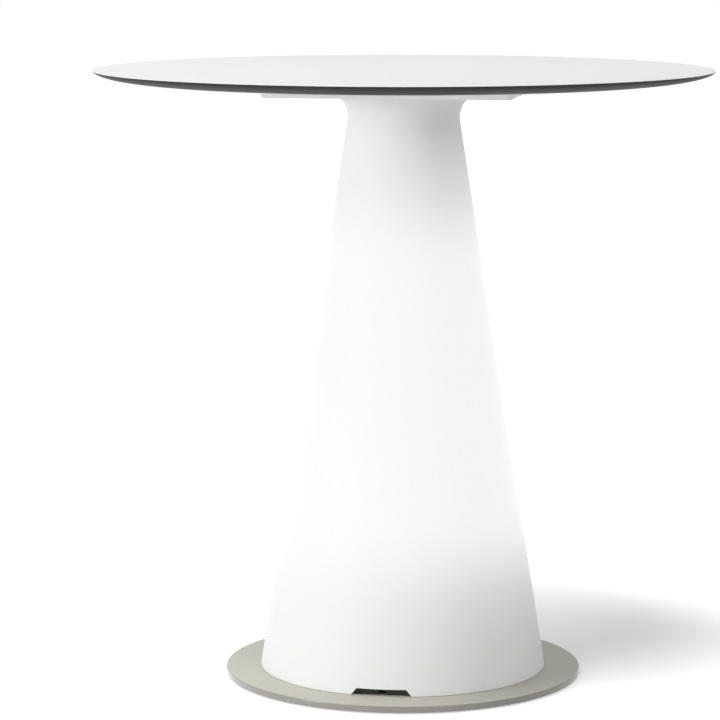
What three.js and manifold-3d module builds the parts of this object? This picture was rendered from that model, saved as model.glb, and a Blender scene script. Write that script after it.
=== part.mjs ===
// A round cafe table lit from within. A thin laminate top sits on the square flange of a hollow,
// translucent cone. The cone stands on a round steel plate, which carries the lamp inside it.
// Lengths are in millimetres, Z is up, the origin is on the floor under the middle of the top, and
// the cable notch in the foot of the cone faces -Y.
import * as THREE from "three";
import { mergeVertices } from "three/addons/utils/BufferGeometryUtils.js";
import Module from "manifold-3d";

const wasm = await Module();
wasm.setup();

// Driving dimensions of the whole table
const OVERALL_HEIGHT = 750;
const TOP_DIAMETER = 755;
const TOP_THICKNESS = 13;
const PLATE_DIAMETER = 440;
const PLATE_THICKNESS = 8;
const FOOT_DIAMETER = 354;
const NECK_DIAMETER = 127;
const FLANGE_SIDE = 300;
const FLANGE_THICKNESS = 15;
const LAMP_HEIGHT = 340;

// Clearances, and how far a cutting shape runs past the face it cuts
const FIT_GAP = 0.3;
const OVERRUN = 5;

// Tabletop: a black core with a thin white sheet on each face and an edge that curves in underneath
const SHEET_THICKNESS = 0.5;
const TOP_EDGE_INSET = 50;
const TOP_INSERT_LENGTH = 9;
const TOP_INSERT_DIAMETER = 8.4;

// The edge's curve, from the rim (inset share 0) to the flat underside (inset share 1)
const EDGE_INSET_SHARES = [0, 0.02, 0.06, 0.13, 0.24, 0.4, 0.62, 1];
const EDGE_INSET_POWER = 1.5;
const EDGE_DEPTH_POWER = 0.55;

// Top screws, button heads let into the underside of the flange
const TOP_SCREW_DIAMETER = 6;
const TOP_SCREW_HEAD_DIAMETER = 11;
const TOP_SCREW_HEAD_HEIGHT = 3.5;
const TOP_SCREW_REACH = 8;
const TOP_SCREW_SOCKET = 4.6;
const TOP_SCREW_RECESS_DIAMETER = 14;
const TOP_SCREW_RECESS_DEPTH = 6;
const TOP_SCREW_EDGE_DISTANCE = 25;

// Moulded cone with its square flange, foot ring and screw bosses, all one hollow moulding
const WALL = 5;
const NECK_FILLET = 30;
const FOOT_EDGE_RADIUS = 2;
const FLANGE_CORNER_RADIUS = 8;
const FLANGE_EDGE_RADIUS = 2;
const FLANGE_BOSS_DIAMETER = 22;
const FOOT_RING_WIDTH = 38;
const FOOT_RING_THICKNESS = 6;
const FOOT_BOSS_DIAMETER = 24;
const FOOT_BOSS_HEIGHT = 14;
const NOTCH_FOOT_WIDTH = 75;
const NOTCH_TOP_WIDTH = 60;
const NOTCH_HEIGHT = 9;

// Foot inserts and the countersunk screws that hold the cone to the plate
const FOOT_INSERT_DIAMETER = 11.4;
const FOOT_INSERT_LENGTH = 11;
const BASE_SCREW_DIAMETER = 8;
const BASE_SCREW_HEAD_DIAMETER = 16;
const BASE_SCREW_REACH = 10;
const BASE_SCREW_SOCKET = 5.8;
const BASE_SCREW_SOCKET_DEPTH = 2.5;
const BASE_SCREW_EDGE_DISTANCE = 30;

// Base plate and its levelling glides
const PLATE_CHAMFER = 1;
const GLIDE_EDGE_DISTANCE = 25;
const GLIDE_PAD_DIAMETER = 25;
const GLIDE_PAD_HEIGHT = 2;
const GLIDE_PAD_CHAMFER = 0.5;
const GLIDE_PAD_FLOOR = 0.8;
const GLIDE_STUD_DIAMETER = 8;
const GLIDE_STUD_REACH = 5.6;
const GLIDE_SOCKET_DEPTH = 6.2;

// Rubber grommet that closes the cable notch, set back from the outer face of the foot
const GROMMET_SETBACK = 12;
const GROMMET_DEPTH = 28;
const CORD_SLOT_WIDTH = 9;
const CORD_SLOT_HEIGHT = 7;

// Terminal box on the plate, behind the notch
const BOX_WIDTH = 80;
const BOX_DEPTH = 44;
const BOX_HEIGHT = 30;
const BOX_WALL = 2.5;
const BOX_LID_THICKNESS = 3;
const BOX_LIP_DEPTH = 3;
const BOX_POST_DIAMETER = 8;
const BOX_POST_OVERLAP = 0.6;
const BOX_SETBACK = 4;
const BLOCK_WIDTH = 36;
const BLOCK_DEPTH = 18;
const BLOCK_HEIGHT = 14;
const BLOCK_PORT_DIAMETER = 4;
const BLOCK_PORT_SPACING = 10;
const BLOCK_PORT_COUNT = 3;

// Cable gland in the front wall of the box, at a height where it clears the top of the grommet
const GLAND_CLEARANCE = 0.5;
const GLAND_BORE = 7.6;
const GLAND_THREAD_DIAMETER = 12;
const GLAND_HEX_DIAMETER = 18;
const GLAND_HEX_LENGTH = 4;
const GLAND_NOSE_LENGTH = 6;
const GLAND_CAP_LENGTH = 7;
const GLAND_CAP_DIAMETER = 16;
const GLAND_NUT_LENGTH = 3;

// Small screws into the plate and the box
const SMALL_SCREW_DIAMETER = 4;
const SMALL_SCREW_HEAD_DIAMETER = 7.5;
const SMALL_SCREW_HEAD_HEIGHT = 2.5;
const SMALL_SCREW_GRIP = 5;
const SMALL_SCREW_SOCKET = 2.9;

// Pressed steel base of the lamp stem
const STEM_BASE_DIAMETER = 76;
const STEM_BASE_TOP_DIAMETER = 52;
const STEM_BASE_HEIGHT = 30;
const STEM_BASE_WALL = 2.5;
const STEM_BRIM_WIDTH = 12;
const STEM_BASE_SCREWS = 3;

// Lamp stem, its nuts, and the lead that runs up inside it
const STEM_DIAMETER = 16;
const STEM_BORE = 12;
const STEM_NUT_DIAMETER = 27;
const STEM_NUT_HEIGHT = 4;
const LEAD_DIAMETER = 5;
const LEAD_BEND_RADIUS = 20;
const LEAD_HEIGHT = 12;
const LEAD_STEPS = 30;

// Lampholder and lamp
const HOLDER_DIAMETER = 44;
const HOLDER_HEIGHT = 52;
const HOLDER_NECK_DIAMETER = 26;
const HOLDER_NECK_HEIGHT = 10;
const HOLDER_CHAMFER = 4;
const HOLDER_STEM_DEPTH = 9;
const LAMP_CAP_DIAMETER = 26.4;
const LAMP_CAP_HEIGHT = 26;
const LAMP_CONTACT_DIAMETER = 10;
const LAMP_CONTACT_HEIGHT = 3;
const HEATSINK_HEIGHT = 45;
const HEATSINK_FOOT_DIAMETER = 30;
const HEATSINK_TOP_DIAMETER = 60;
const LED_BOARD_DIAMETER = 50;
const LED_BOARD_THICKNESS = 1.6;
const GLOBE_DIAMETER = 95;
const GLOBE_WALL = 1.5;

// Facets round each kind of piece
const LARGE_SIDES = 80;
const CONE_SIDES = 52;
const MIDDLE_SIDES = 24;
const SMALL_SIDES = 12;
const HEX_SIDES = 6;
const ARC_STEPS = 5;
const CORNER_STEPS = 3;
const FOOT_ARC_STEPS = 3;
const GLOBE_STEPS = 7;
const LEAD_CORNERS = 4;
const MERGE_DISTANCE = 1e-3;

// Heights and radii that follow from the sizes above
const plateBottom = GLIDE_PAD_HEIGHT;
const plateTop = plateBottom + PLATE_THICKNESS;
const topUnderside = OVERALL_HEIGHT - TOP_THICKNESS;
const flangeUnderside = topUnderside - FLANGE_THICKNESS;
const coreTop = OVERALL_HEIGHT - SHEET_THICKNESS;
const coreUnderside = topUnderside + SHEET_THICKNESS;
const coneSlope = (FOOT_DIAMETER - NECK_DIAMETER) / 2 / (flangeUnderside - plateTop);
const wallAcross = WALL * Math.hypot(1, coneSlope);
const ringInnerRadius = FOOT_DIAMETER / 2 - FOOT_RING_WIDTH;
const footBossTop = plateTop + FOOT_BOSS_HEIGHT;
const boltOffset = FLANGE_SIDE / 2 - TOP_SCREW_EDGE_DISTANCE;
const baseScrewRadius = FOOT_DIAMETER / 2 - BASE_SCREW_EDGE_DISTANCE;
const glideRadius = PLATE_DIAMETER / 2 - GLIDE_EDGE_DISTANCE;
const stemBrimRadius = STEM_BASE_DIAMETER / 2 + STEM_BRIM_WIDTH;
const stemScrewRadius = STEM_BASE_DIAMETER / 2 + STEM_BRIM_WIDTH / 2;
const boxRear = -(stemBrimRadius + BOX_SETBACK);
const boxFront = boxRear - BOX_DEPTH;
const boxMiddle = (boxFront + boxRear) / 2;
const leadLevel = plateTop + LEAD_HEIGHT;
const glandLevel = plateTop + NOTCH_HEIGHT + GLAND_CLEARANCE + GLAND_CAP_DIAMETER / 2;
const stemBaseTop = plateTop + STEM_BASE_HEIGHT;

// Materials, one for each finish
function finish(color, roughness, metalness = 0) {
  return new THREE.MeshStandardMaterial({ color, roughness, metalness });
}
const whiteLaminate = finish(0xeeeeec, 0.55);
const blackLaminate = finish(0x2a2a2b, 0.5);
const translucentPlastic = finish(0xfafafa, 0.6);
translucentPlastic.emissive.set(0xffffff);
translucentPlastic.emissiveIntensity = 0.4;
const plateCoating = finish(0xb8b6a9, 0.45, 0.2);
const brass = finish(0xc9a552, 0.35, 1);
const steel = finish(0xb9bcc0, 0.35, 1);
const blackNylon = finish(0x1b1b1c, 0.6);
const blackRubber = finish(0x141414, 0.85);
const greyPlastic = finish(0x3a3c3e, 0.6);
const paleCeramic = finish(0xe9e7e0, 0.4);
const whiteEnamel = finish(0xf1f1ee, 0.45);
const opalPlastic = finish(0xffffff, 0.3);
opalPlastic.emissive.set(0xffffff);

// A closed turned shape about Z. The profile is a list of [radius, height], from the bottom out and up.
function turned(profile, sides) {
  const points = profile.map(([radius, height]) => new THREE.Vector2(radius, height));
  const [first] = points;
  const last = points[points.length - 1];
  if (first.x > 0 || last.x > 0) points.push(first.clone());
  const geometry = new THREE.LatheGeometry(points, sides);
  geometry.rotateX(Math.PI / 2);
  return geometry;
}

// A solid cylinder about Z between two heights.
function rod(diameter, low, high, sides) {
  const radius = diameter / 2;
  return turned([[0, low], [radius, low], [radius, high], [0, high]], sides);
}

// A straight sleeve about Z between two heights.
function sleeve(diameter, bore, low, high, sides) {
  const outer = diameter / 2;
  const inner = bore / 2;
  return turned([[inner, low], [outer, low], [outer, high], [inner, high]], sides);
}

// A block between two corners.
function block(low, high) {
  const size = high.map((value, axis) => value - low[axis]);
  const geometry = new THREE.BoxGeometry(...size);
  geometry.translate(...low.map((value, axis) => value + size[axis] / 2));
  return geometry;
}

// A square slab with rounded upright corners and, where edgeRadius is set, rounded long edges.
function roundedSlab(side, cornerRadius, low, high, edgeRadius = 0) {
  const half = side / 2;
  const run = half - cornerRadius;
  const shape = new THREE.Shape();
  shape.moveTo(half, -run);
  shape.absarc(run, run, cornerRadius, 0, Math.PI / 2);
  shape.absarc(-run, run, cornerRadius, Math.PI / 2, Math.PI);
  shape.absarc(-run, -run, cornerRadius, Math.PI, Math.PI * 1.5);
  shape.absarc(run, -run, cornerRadius, Math.PI * 1.5, Math.PI * 2);
  const geometry = new THREE.ExtrudeGeometry(shape, {
    depth: high - low - 2 * edgeRadius,
    curveSegments: CORNER_STEPS,
    bevelEnabled: edgeRadius > 0,
    bevelThickness: edgeRadius,
    bevelSize: edgeRadius,
    bevelOffset: -edgeRadius,
    bevelSegments: CORNER_STEPS,
  });
  geometry.translate(0, 0, low + edgeRadius);
  return geometry;
}

// An outline of [x, z] points drawn out along Y, from near (the lower y) to far.
function drawnAlongY(outline, near, far) {
  const shape = new THREE.Shape(outline.map(([x, z]) => new THREE.Vector2(x, z)));
  const geometry = new THREE.ExtrudeGeometry(shape, { depth: far - near, bevelEnabled: false });
  geometry.rotateX(Math.PI / 2);
  geometry.translate(0, far, 0);
  return geometry;
}

// The points of an arc that rounds the corner between two straight lines, in [radius, height].
function roundedCorner(before, corner, after, radius, steps) {
  const middle = new THREE.Vector2(...corner);
  const toBefore = new THREE.Vector2(...before).sub(middle).normalize();
  const toAfter = new THREE.Vector2(...after).sub(middle).normalize();
  const halfAngle = Math.acos(toBefore.dot(toAfter)) / 2;
  const bisector = toBefore.clone().add(toAfter).normalize();
  const centre = middle.clone().addScaledVector(bisector, radius / Math.sin(halfAngle));
  const start = middle.clone().addScaledVector(toBefore, radius / Math.tan(halfAngle)).sub(centre);
  const end = middle.clone().addScaledVector(toAfter, radius / Math.tan(halfAngle)).sub(centre);
  let sweep = end.angle() - start.angle();
  if (sweep > Math.PI) sweep -= 2 * Math.PI;
  if (sweep < -Math.PI) sweep += 2 * Math.PI;
  return Array.from({ length: steps + 1 }, (_, step) => {
    const spoke = start.clone().rotateAround(new THREE.Vector2(), (sweep * step) / steps);
    return [centre.x + spoke.x, centre.y + spoke.y];
  });
}

// A closed mesh as a solid that can be cut and joined, and back again.
function solidOf(geometry) {
  const bare = geometry.clone();
  bare.deleteAttribute("normal");
  bare.deleteAttribute("uv");
  const merged = mergeVertices(bare, MERGE_DISTANCE);
  return new wasm.Manifold(
    new wasm.Mesh({
      numProp: 3,
      vertProperties: merged.attributes.position.array,
      triVerts: new Uint32Array(merged.index.array),
    }),
  );
}
function geometryOf(solid) {
  const mesh = solid.getMesh();
  const geometry = new THREE.BufferGeometry();
  geometry.setAttribute("position", new THREE.BufferAttribute(mesh.vertProperties, 3));
  geometry.setIndex(new THREE.BufferAttribute(mesh.triVerts, 1));
  const faceted = geometry.toNonIndexed();
  faceted.computeVertexNormals();
  return faceted;
}
function joined(first, others) {
  return geometryOf(others.reduce((solid, other) => solid.add(solidOf(other)), solidOf(first)));
}
function cut(base, tools) {
  return geometryOf(tools.reduce((solid, tool) => solid.subtract(solidOf(tool)), solidOf(base)));
}

// A copy of a shape moved sideways.
function movedTo(geometry, [x, y]) {
  return geometry.clone().translate(x, y, 0);
}

// The places of the repeated pieces, as [x, y]
function placesOnCircle(radius, count, firstAngle) {
  return Array.from({ length: count }, (_, index) => {
    const angle = firstAngle + (2 * Math.PI * index) / count;
    return [radius * Math.cos(angle), radius * Math.sin(angle)];
  });
}
const flangeBoltPlaces = placesOnCircle(boltOffset * Math.SQRT2, 4, Math.PI / 4);
const baseScrewPlaces = placesOnCircle(baseScrewRadius, 4, Math.PI / 4);
const glidePlaces = placesOnCircle(glideRadius, 4, Math.PI / 4);
const stemScrewPlaces = placesOnCircle(stemScrewRadius, STEM_BASE_SCREWS, Math.PI / 2);
const boxScrewPlaces = [-1, 1].map((side) => [
  side * (BOX_WIDTH / 2 - BOX_WALL - SMALL_SCREW_HEAD_DIAMETER),
  boxMiddle,
]);
const lidScrewInset = BOX_WALL + BOX_POST_DIAMETER / 2 - BOX_POST_OVERLAP;
const lidScrewPlaces = [-1, 1].map((side) => [
  side * (BOX_WIDTH / 2 - lidScrewInset),
  boxRear - lidScrewInset,
]);

// Outer radius of the straight side of the cone at a height
function coneRadius(height) {
  return FOOT_DIAMETER / 2 - coneSlope * (height - plateTop);
}

// Half the width of the cable notch at a height
function notchHalfWidth(height) {
  const share = (height - plateTop) / NOTCH_HEIGHT;
  return (NOTCH_FOOT_WIDTH + (NOTCH_TOP_WIDTH - NOTCH_FOOT_WIDTH) * share) / 2;
}

// A turned screw about Z, with a six-sided socket for the key in its head.
function screw(headProfile, socketDiameter, socketLow, socketHigh) {
  const socket = rod(socketDiameter, socketLow, socketHigh, HEX_SIDES);
  return cut(turned(headProfile, SMALL_SIDES), [socket]);
}

// The tabletop

function topEdgeProfile() {
  const radius = TOP_DIAMETER / 2;
  const depth = coreTop - coreUnderside;
  return EDGE_INSET_SHARES.map((share) => {
    const depthShare = (1 - (1 - share) ** EDGE_INSET_POWER) ** EDGE_DEPTH_POWER;
    return [radius - share * TOP_EDGE_INSET, coreTop - depthShare * depth];
  });
}

function insertPocket(diameter, low, high) {
  return rod(diameter + 2 * FIT_GAP, low, high, SMALL_SIDES);
}

function tabletopCore() {
  const profile = [[0, coreUnderside], ...topEdgeProfile().reverse(), [0, coreTop]];
  const pocketEnd = topUnderside + TOP_INSERT_LENGTH + FIT_GAP;
  const pocket = insertPocket(TOP_INSERT_DIAMETER, topUnderside - OVERRUN, pocketEnd);
  return cut(turned(profile, LARGE_SIDES), flangeBoltPlaces.map((place) => movedTo(pocket, place)));
}

function tabletopFace() {
  return rod(TOP_DIAMETER, coreTop, OVERALL_HEIGHT, LARGE_SIDES);
}

function tabletopBacking() {
  const sheet = rod(TOP_DIAMETER - 2 * TOP_EDGE_INSET, topUnderside, coreUnderside, LARGE_SIDES);
  const hole = insertPocket(TOP_INSERT_DIAMETER, topUnderside - OVERRUN, coreUnderside + OVERRUN);
  return cut(sheet, flangeBoltPlaces.map((place) => movedTo(hole, place)));
}

function topInsert() {
  const bore = TOP_SCREW_DIAMETER + 2 * FIT_GAP;
  const high = topUnderside + TOP_INSERT_LENGTH;
  return sleeve(TOP_INSERT_DIAMETER, bore, topUnderside, high, SMALL_SIDES);
}

function topScrew() {
  const seat = flangeUnderside + TOP_SCREW_RECESS_DEPTH;
  const headLow = seat - TOP_SCREW_HEAD_HEIGHT;
  const headRadius = TOP_SCREW_HEAD_DIAMETER / 2;
  const shankRadius = TOP_SCREW_DIAMETER / 2;
  const end = topUnderside + TOP_SCREW_REACH;
  const profile = [
    [0, headLow],
    [headRadius - TOP_SCREW_HEAD_HEIGHT / 2, headLow],
    [headRadius, seat - TOP_SCREW_HEAD_HEIGHT / 2],
    [headRadius, seat],
    [shankRadius, seat],
    [shankRadius, end],
    [0, end],
  ];
  return screw(profile, TOP_SCREW_SOCKET, headLow - OVERRUN, seat - TOP_SCREW_HEAD_HEIGHT / 3);
}

// The cone, one hollow moulding that is open at the foot

function coneOutside() {
  const footCorner = [coneRadius(plateTop), plateTop];
  const neckCorner = [coneRadius(flangeUnderside), flangeUnderside];
  const flangePoint = [neckCorner[0] + FLANGE_SIDE, flangeUnderside];
  const foot = roundedCorner([0, plateTop], footCorner, neckCorner, FOOT_EDGE_RADIUS, FOOT_ARC_STEPS);
  const neck = roundedCorner(footCorner, neckCorner, flangePoint, NECK_FILLET, ARC_STEPS);
  const [flareRadius] = neck[neck.length - 1];
  const core = flangeUnderside + FLANGE_THICKNESS - WALL;
  const profile = [[0, plateTop], ...foot, ...neck, [flareRadius, core], [0, core]];
  const edge = FLANGE_EDGE_RADIUS;
  const slab = roundedSlab(FLANGE_SIDE, FLANGE_CORNER_RADIUS, flangeUnderside, topUnderside, edge);
  return joined(turned(profile, CONE_SIDES), [slab]);
}

function coneHollow() {
  const ringTop = plateTop + FOOT_RING_THICKNESS;
  const floor = flangeUnderside + WALL;
  const ceiling = topUnderside - WALL;
  const footCorner = [coneRadius(ringTop) - wallAcross, ringTop];
  const neckCorner = [coneRadius(floor) - wallAcross, floor];
  const flangePoint = [neckCorner[0] + FLANGE_SIDE, floor];
  const neck = roundedCorner(footCorner, neckCorner, flangePoint, NECK_FILLET + WALL, ARC_STEPS);
  const [flareRadius] = neck[neck.length - 1];
  const profile = [
    [0, plateTop - OVERRUN],
    [ringInnerRadius, plateTop - OVERRUN],
    [ringInnerRadius, ringTop],
    footCorner,
    ...neck,
    [flareRadius, ceiling],
    [0, ceiling],
  ];
  const side = FLANGE_SIDE - 2 * WALL;
  const slab = roundedSlab(side, FLANGE_CORNER_RADIUS - WALL, floor, ceiling);
  const hollow = joined(turned(profile, CONE_SIDES), [slab]);
  const boss = rod(FLANGE_BOSS_DIAMETER, floor - OVERRUN, ceiling + OVERRUN, SMALL_SIDES);
  return cut(hollow, flangeBoltPlaces.map((place) => movedTo(boss, place)));
}

function notchCutter() {
  const low = plateTop - OVERRUN;
  const high = plateTop + NOTCH_HEIGHT;
  const outline = [
    [-notchHalfWidth(low), low],
    [notchHalfWidth(low), low],
    [notchHalfWidth(high), high],
    [-notchHalfWidth(high), high],
  ];
  const ringEnd = Math.sqrt(ringInnerRadius ** 2 - (NOTCH_FOOT_WIDTH / 2) ** 2);
  return drawnAlongY(outline, -(FOOT_DIAMETER / 2 + OVERRUN), -(ringEnd - OVERRUN));
}

function coneBody() {
  const shell = cut(coneOutside(), [coneHollow()]);
  const boss = rod(FOOT_BOSS_DIAMETER, plateTop, footBossTop, MIDDLE_SIDES);
  const withBosses = joined(shell, baseScrewPlaces.map((place) => movedTo(boss, place)));
  const recessHigh = flangeUnderside + TOP_SCREW_RECESS_DEPTH;
  const recess = rod(TOP_SCREW_RECESS_DIAMETER, flangeUnderside - OVERRUN, recessHigh, SMALL_SIDES);
  const bore = TOP_SCREW_DIAMETER + 2 * FIT_GAP;
  const hole = rod(bore, flangeUnderside, topUnderside + OVERRUN, SMALL_SIDES);
  const pocketEnd = plateTop + FOOT_INSERT_LENGTH + FIT_GAP;
  const pocket = insertPocket(FOOT_INSERT_DIAMETER, plateTop - OVERRUN, pocketEnd);
  return cut(withBosses, [
    notchCutter(),
    ...flangeBoltPlaces.map((place) => movedTo(recess, place)),
    ...flangeBoltPlaces.map((place) => movedTo(hole, place)),
    ...baseScrewPlaces.map((place) => movedTo(pocket, place)),
  ]);
}

function footInsert() {
  const bore = BASE_SCREW_DIAMETER + 2 * FIT_GAP;
  return sleeve(FOOT_INSERT_DIAMETER, bore, plateTop, plateTop + FOOT_INSERT_LENGTH, SMALL_SIDES);
}

// Countersunk screw head under the plate, and the sink it lies in, which is larger by the gap
function countersunkProfile(gap, faceLow, end) {
  const headRadius = BASE_SCREW_HEAD_DIAMETER / 2;
  const shankRadius = BASE_SCREW_DIAMETER / 2;
  const faceRadius = headRadius + gap - (faceLow - plateBottom);
  return [
    [0, faceLow],
    [faceRadius, faceLow],
    [shankRadius + gap, plateBottom + headRadius - shankRadius],
    [shankRadius + gap, end],
    [0, end],
  ];
}

function baseScrew() {
  const faceLow = plateBottom + FIT_GAP;
  const profile = countersunkProfile(0, faceLow, plateTop + BASE_SCREW_REACH);
  return screw(profile, BASE_SCREW_SOCKET, faceLow - OVERRUN, faceLow + BASE_SCREW_SOCKET_DEPTH);
}

function cableGrommet() {
  const near = -(FOOT_DIAMETER / 2 - GROMMET_SETBACK);
  const far = near + GROMMET_DEPTH;
  const high = plateTop + NOTCH_HEIGHT - FIT_GAP;
  const outline = [
    [-(notchHalfWidth(plateTop) - FIT_GAP), plateTop],
    [notchHalfWidth(plateTop) - FIT_GAP, plateTop],
    [notchHalfWidth(high) - FIT_GAP, high],
    [-(notchHalfWidth(high) - FIT_GAP), high],
  ];
  const slotRadius = CORD_SLOT_WIDTH / 2;
  const archLevel = plateTop + CORD_SLOT_HEIGHT - slotRadius;
  const arch = Array.from({ length: ARC_STEPS + 1 }, (_, step) => {
    const angle = (Math.PI * step) / ARC_STEPS;
    return [slotRadius * Math.cos(angle), archLevel + slotRadius * Math.sin(angle)];
  });
  const slot = [[-slotRadius, plateTop - OVERRUN], [slotRadius, plateTop - OVERRUN], ...arch];
  return cut(drawnAlongY(outline, near, far), [drawnAlongY(slot, near - OVERRUN, far + OVERRUN)]);
}

// The base plate and its glides

function basePlate() {
  const radius = PLATE_DIAMETER / 2;
  const disc = turned(
    [
      [0, plateBottom],
      [radius - PLATE_CHAMFER, plateBottom],
      [radius, plateBottom + PLATE_CHAMFER],
      [radius, plateTop - PLATE_CHAMFER],
      [radius - PLATE_CHAMFER, plateTop],
      [0, plateTop],
    ],
    LARGE_SIDES,
  );
  const sinkFace = plateBottom - FIT_GAP;
  const sink = turned(countersunkProfile(FIT_GAP, sinkFace, plateTop + OVERRUN), SMALL_SIDES);
  const socketBore = GLIDE_STUD_DIAMETER + 2 * FIT_GAP;
  const socket = rod(socketBore, plateBottom - OVERRUN, plateBottom + GLIDE_SOCKET_DEPTH, SMALL_SIDES);
  const tapBore = SMALL_SCREW_DIAMETER + 2 * FIT_GAP;
  const tapLow = plateTop - SMALL_SCREW_GRIP - FIT_GAP;
  const tap = rod(tapBore, tapLow, plateTop + OVERRUN, SMALL_SIDES);
  return cut(disc, [
    ...baseScrewPlaces.map((place) => movedTo(sink, place)),
    ...glidePlaces.map((place) => movedTo(socket, place)),
    ...[...stemScrewPlaces, ...boxScrewPlaces].map((place) => movedTo(tap, place)),
  ]);
}

function glidePad() {
  const radius = GLIDE_PAD_DIAMETER / 2;
  const socketRadius = GLIDE_STUD_DIAMETER / 2 + FIT_GAP;
  return turned(
    [
      [0, 0],
      [radius - GLIDE_PAD_CHAMFER, 0],
      [radius, GLIDE_PAD_CHAMFER],
      [radius, plateBottom],
      [socketRadius, plateBottom],
      [socketRadius, GLIDE_PAD_FLOOR],
      [0, GLIDE_PAD_FLOOR],
    ],
    MIDDLE_SIDES,
  );
}

function glideStud() {
  return rod(GLIDE_STUD_DIAMETER, GLIDE_PAD_FLOOR, plateBottom + GLIDE_STUD_REACH, SMALL_SIDES);
}

// The terminal box, its gland, lid and terminal block

function smallScrew(seat, end) {
  const headRadius = SMALL_SCREW_HEAD_DIAMETER / 2;
  const shankRadius = SMALL_SCREW_DIAMETER / 2;
  const headHigh = seat + SMALL_SCREW_HEAD_HEIGHT;
  const profile = [
    [0, end],
    [shankRadius, end],
    [shankRadius, seat],
    [headRadius, seat],
    [headRadius, headHigh - SMALL_SCREW_HEAD_HEIGHT / 3],
    [headRadius - SMALL_SCREW_HEAD_HEIGHT / 3, headHigh],
    [0, headHigh],
  ];
  return screw(profile, SMALL_SCREW_SOCKET, headHigh - SMALL_SCREW_HEAD_HEIGHT / 2, headHigh + OVERRUN);
}

function alongY(geometry, y, height) {
  const turnedShape = geometry.clone();
  turnedShape.rotateX(Math.PI / 2);
  turnedShape.translate(0, y, height);
  return turnedShape;
}

function terminalBox() {
  const halfWidth = BOX_WIDTH / 2;
  const high = plateTop + BOX_HEIGHT;
  const outside = block([-halfWidth, boxFront, plateTop], [halfWidth, boxRear, high]);
  const inside = block(
    [-halfWidth + BOX_WALL, boxFront + BOX_WALL, plateTop + BOX_WALL],
    [halfWidth - BOX_WALL, boxRear - BOX_WALL, high + OVERRUN],
  );
  const postHigh = high - BOX_LIP_DEPTH - FIT_GAP;
  const post = rod(BOX_POST_DIAMETER, plateTop + BOX_WALL / 2, postHigh, SMALL_SIDES);
  const shell = joined(cut(outside, [inside]), lidScrewPlaces.map((place) => movedTo(post, place)));
  const hole = rod(SMALL_SCREW_DIAMETER + 2 * FIT_GAP, plateTop - OVERRUN, plateTop + OVERRUN, SMALL_SIDES);
  const tap = rod(SMALL_SCREW_DIAMETER + 2 * FIT_GAP, plateTop + OVERRUN, high, SMALL_SIDES);
  const glandHole = rod(GLAND_THREAD_DIAMETER + 2 * FIT_GAP, -BOX_WALL - OVERRUN, OVERRUN, SMALL_SIDES);
  const leadHole = rod(LEAD_DIAMETER + 2 * FIT_GAP, -OVERRUN, BOX_WALL + OVERRUN, SMALL_SIDES);
  return cut(shell, [
    ...boxScrewPlaces.map((place) => movedTo(hole, place)),
    ...lidScrewPlaces.map((place) => movedTo(tap, place)),
    alongY(glandHole, boxFront, glandLevel),
    alongY(leadHole, boxRear, leadLevel),
  ]);
}

function terminalLid() {
  const halfWidth = BOX_WIDTH / 2;
  const low = plateTop + BOX_HEIGHT;
  const cover = block([-halfWidth, boxFront, low], [halfWidth, boxRear, low + BOX_LID_THICKNESS]);
  const margin = BOX_WALL + FIT_GAP;
  const lip = block(
    [-halfWidth + margin, boxFront + margin, low - BOX_LIP_DEPTH],
    [halfWidth - margin, boxRear - margin, low + BOX_LID_THICKNESS / 2],
  );
  const bore = SMALL_SCREW_DIAMETER + 2 * FIT_GAP;
  const hole = rod(bore, low - 2 * BOX_LIP_DEPTH, low + BOX_LID_THICKNESS + OVERRUN, SMALL_SIDES);
  return cut(joined(cover, [lip]), lidScrewPlaces.map((place) => movedTo(hole, place)));
}

function terminalBlock() {
  const low = plateTop + BOX_WALL;
  const halfWidth = BLOCK_WIDTH / 2;
  const halfDepth = BLOCK_DEPTH / 2;
  const body = block(
    [-halfWidth, boxMiddle - halfDepth, low],
    [halfWidth, boxMiddle + halfDepth, low + BLOCK_HEIGHT],
  );
  const port = rod(BLOCK_PORT_DIAMETER, low + BLOCK_HEIGHT / 2, low + BLOCK_HEIGHT + OVERRUN, SMALL_SIDES);
  const ports = Array.from({ length: BLOCK_PORT_COUNT }, (_, index) => {
    const x = (index - (BLOCK_PORT_COUNT - 1) / 2) * BLOCK_PORT_SPACING;
    return movedTo(port, [x, boxMiddle]);
  });
  return cut(body, ports);
}

// The gland's pieces are turned about Z with their outer face at zero, then laid along Y.
function cableGland() {
  const threadRadius = GLAND_THREAD_DIAMETER / 2;
  const inner = GLAND_BORE / 2;
  const innerEnd = -(BOX_WALL + GLAND_NUT_LENGTH + FIT_GAP);
  const thread = turned(
    [
      [inner, innerEnd],
      [threadRadius, innerEnd],
      [threadRadius, GLAND_HEX_LENGTH + GLAND_NOSE_LENGTH],
      [inner, GLAND_HEX_LENGTH + GLAND_NOSE_LENGTH],
    ],
    SMALL_SIDES,
  );
  const hex = sleeve(GLAND_HEX_DIAMETER, (GLAND_BORE + GLAND_THREAD_DIAMETER) / 2, 0, GLAND_HEX_LENGTH, HEX_SIDES);
  return alongY(joined(thread, [hex]), boxFront, glandLevel);
}

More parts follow.
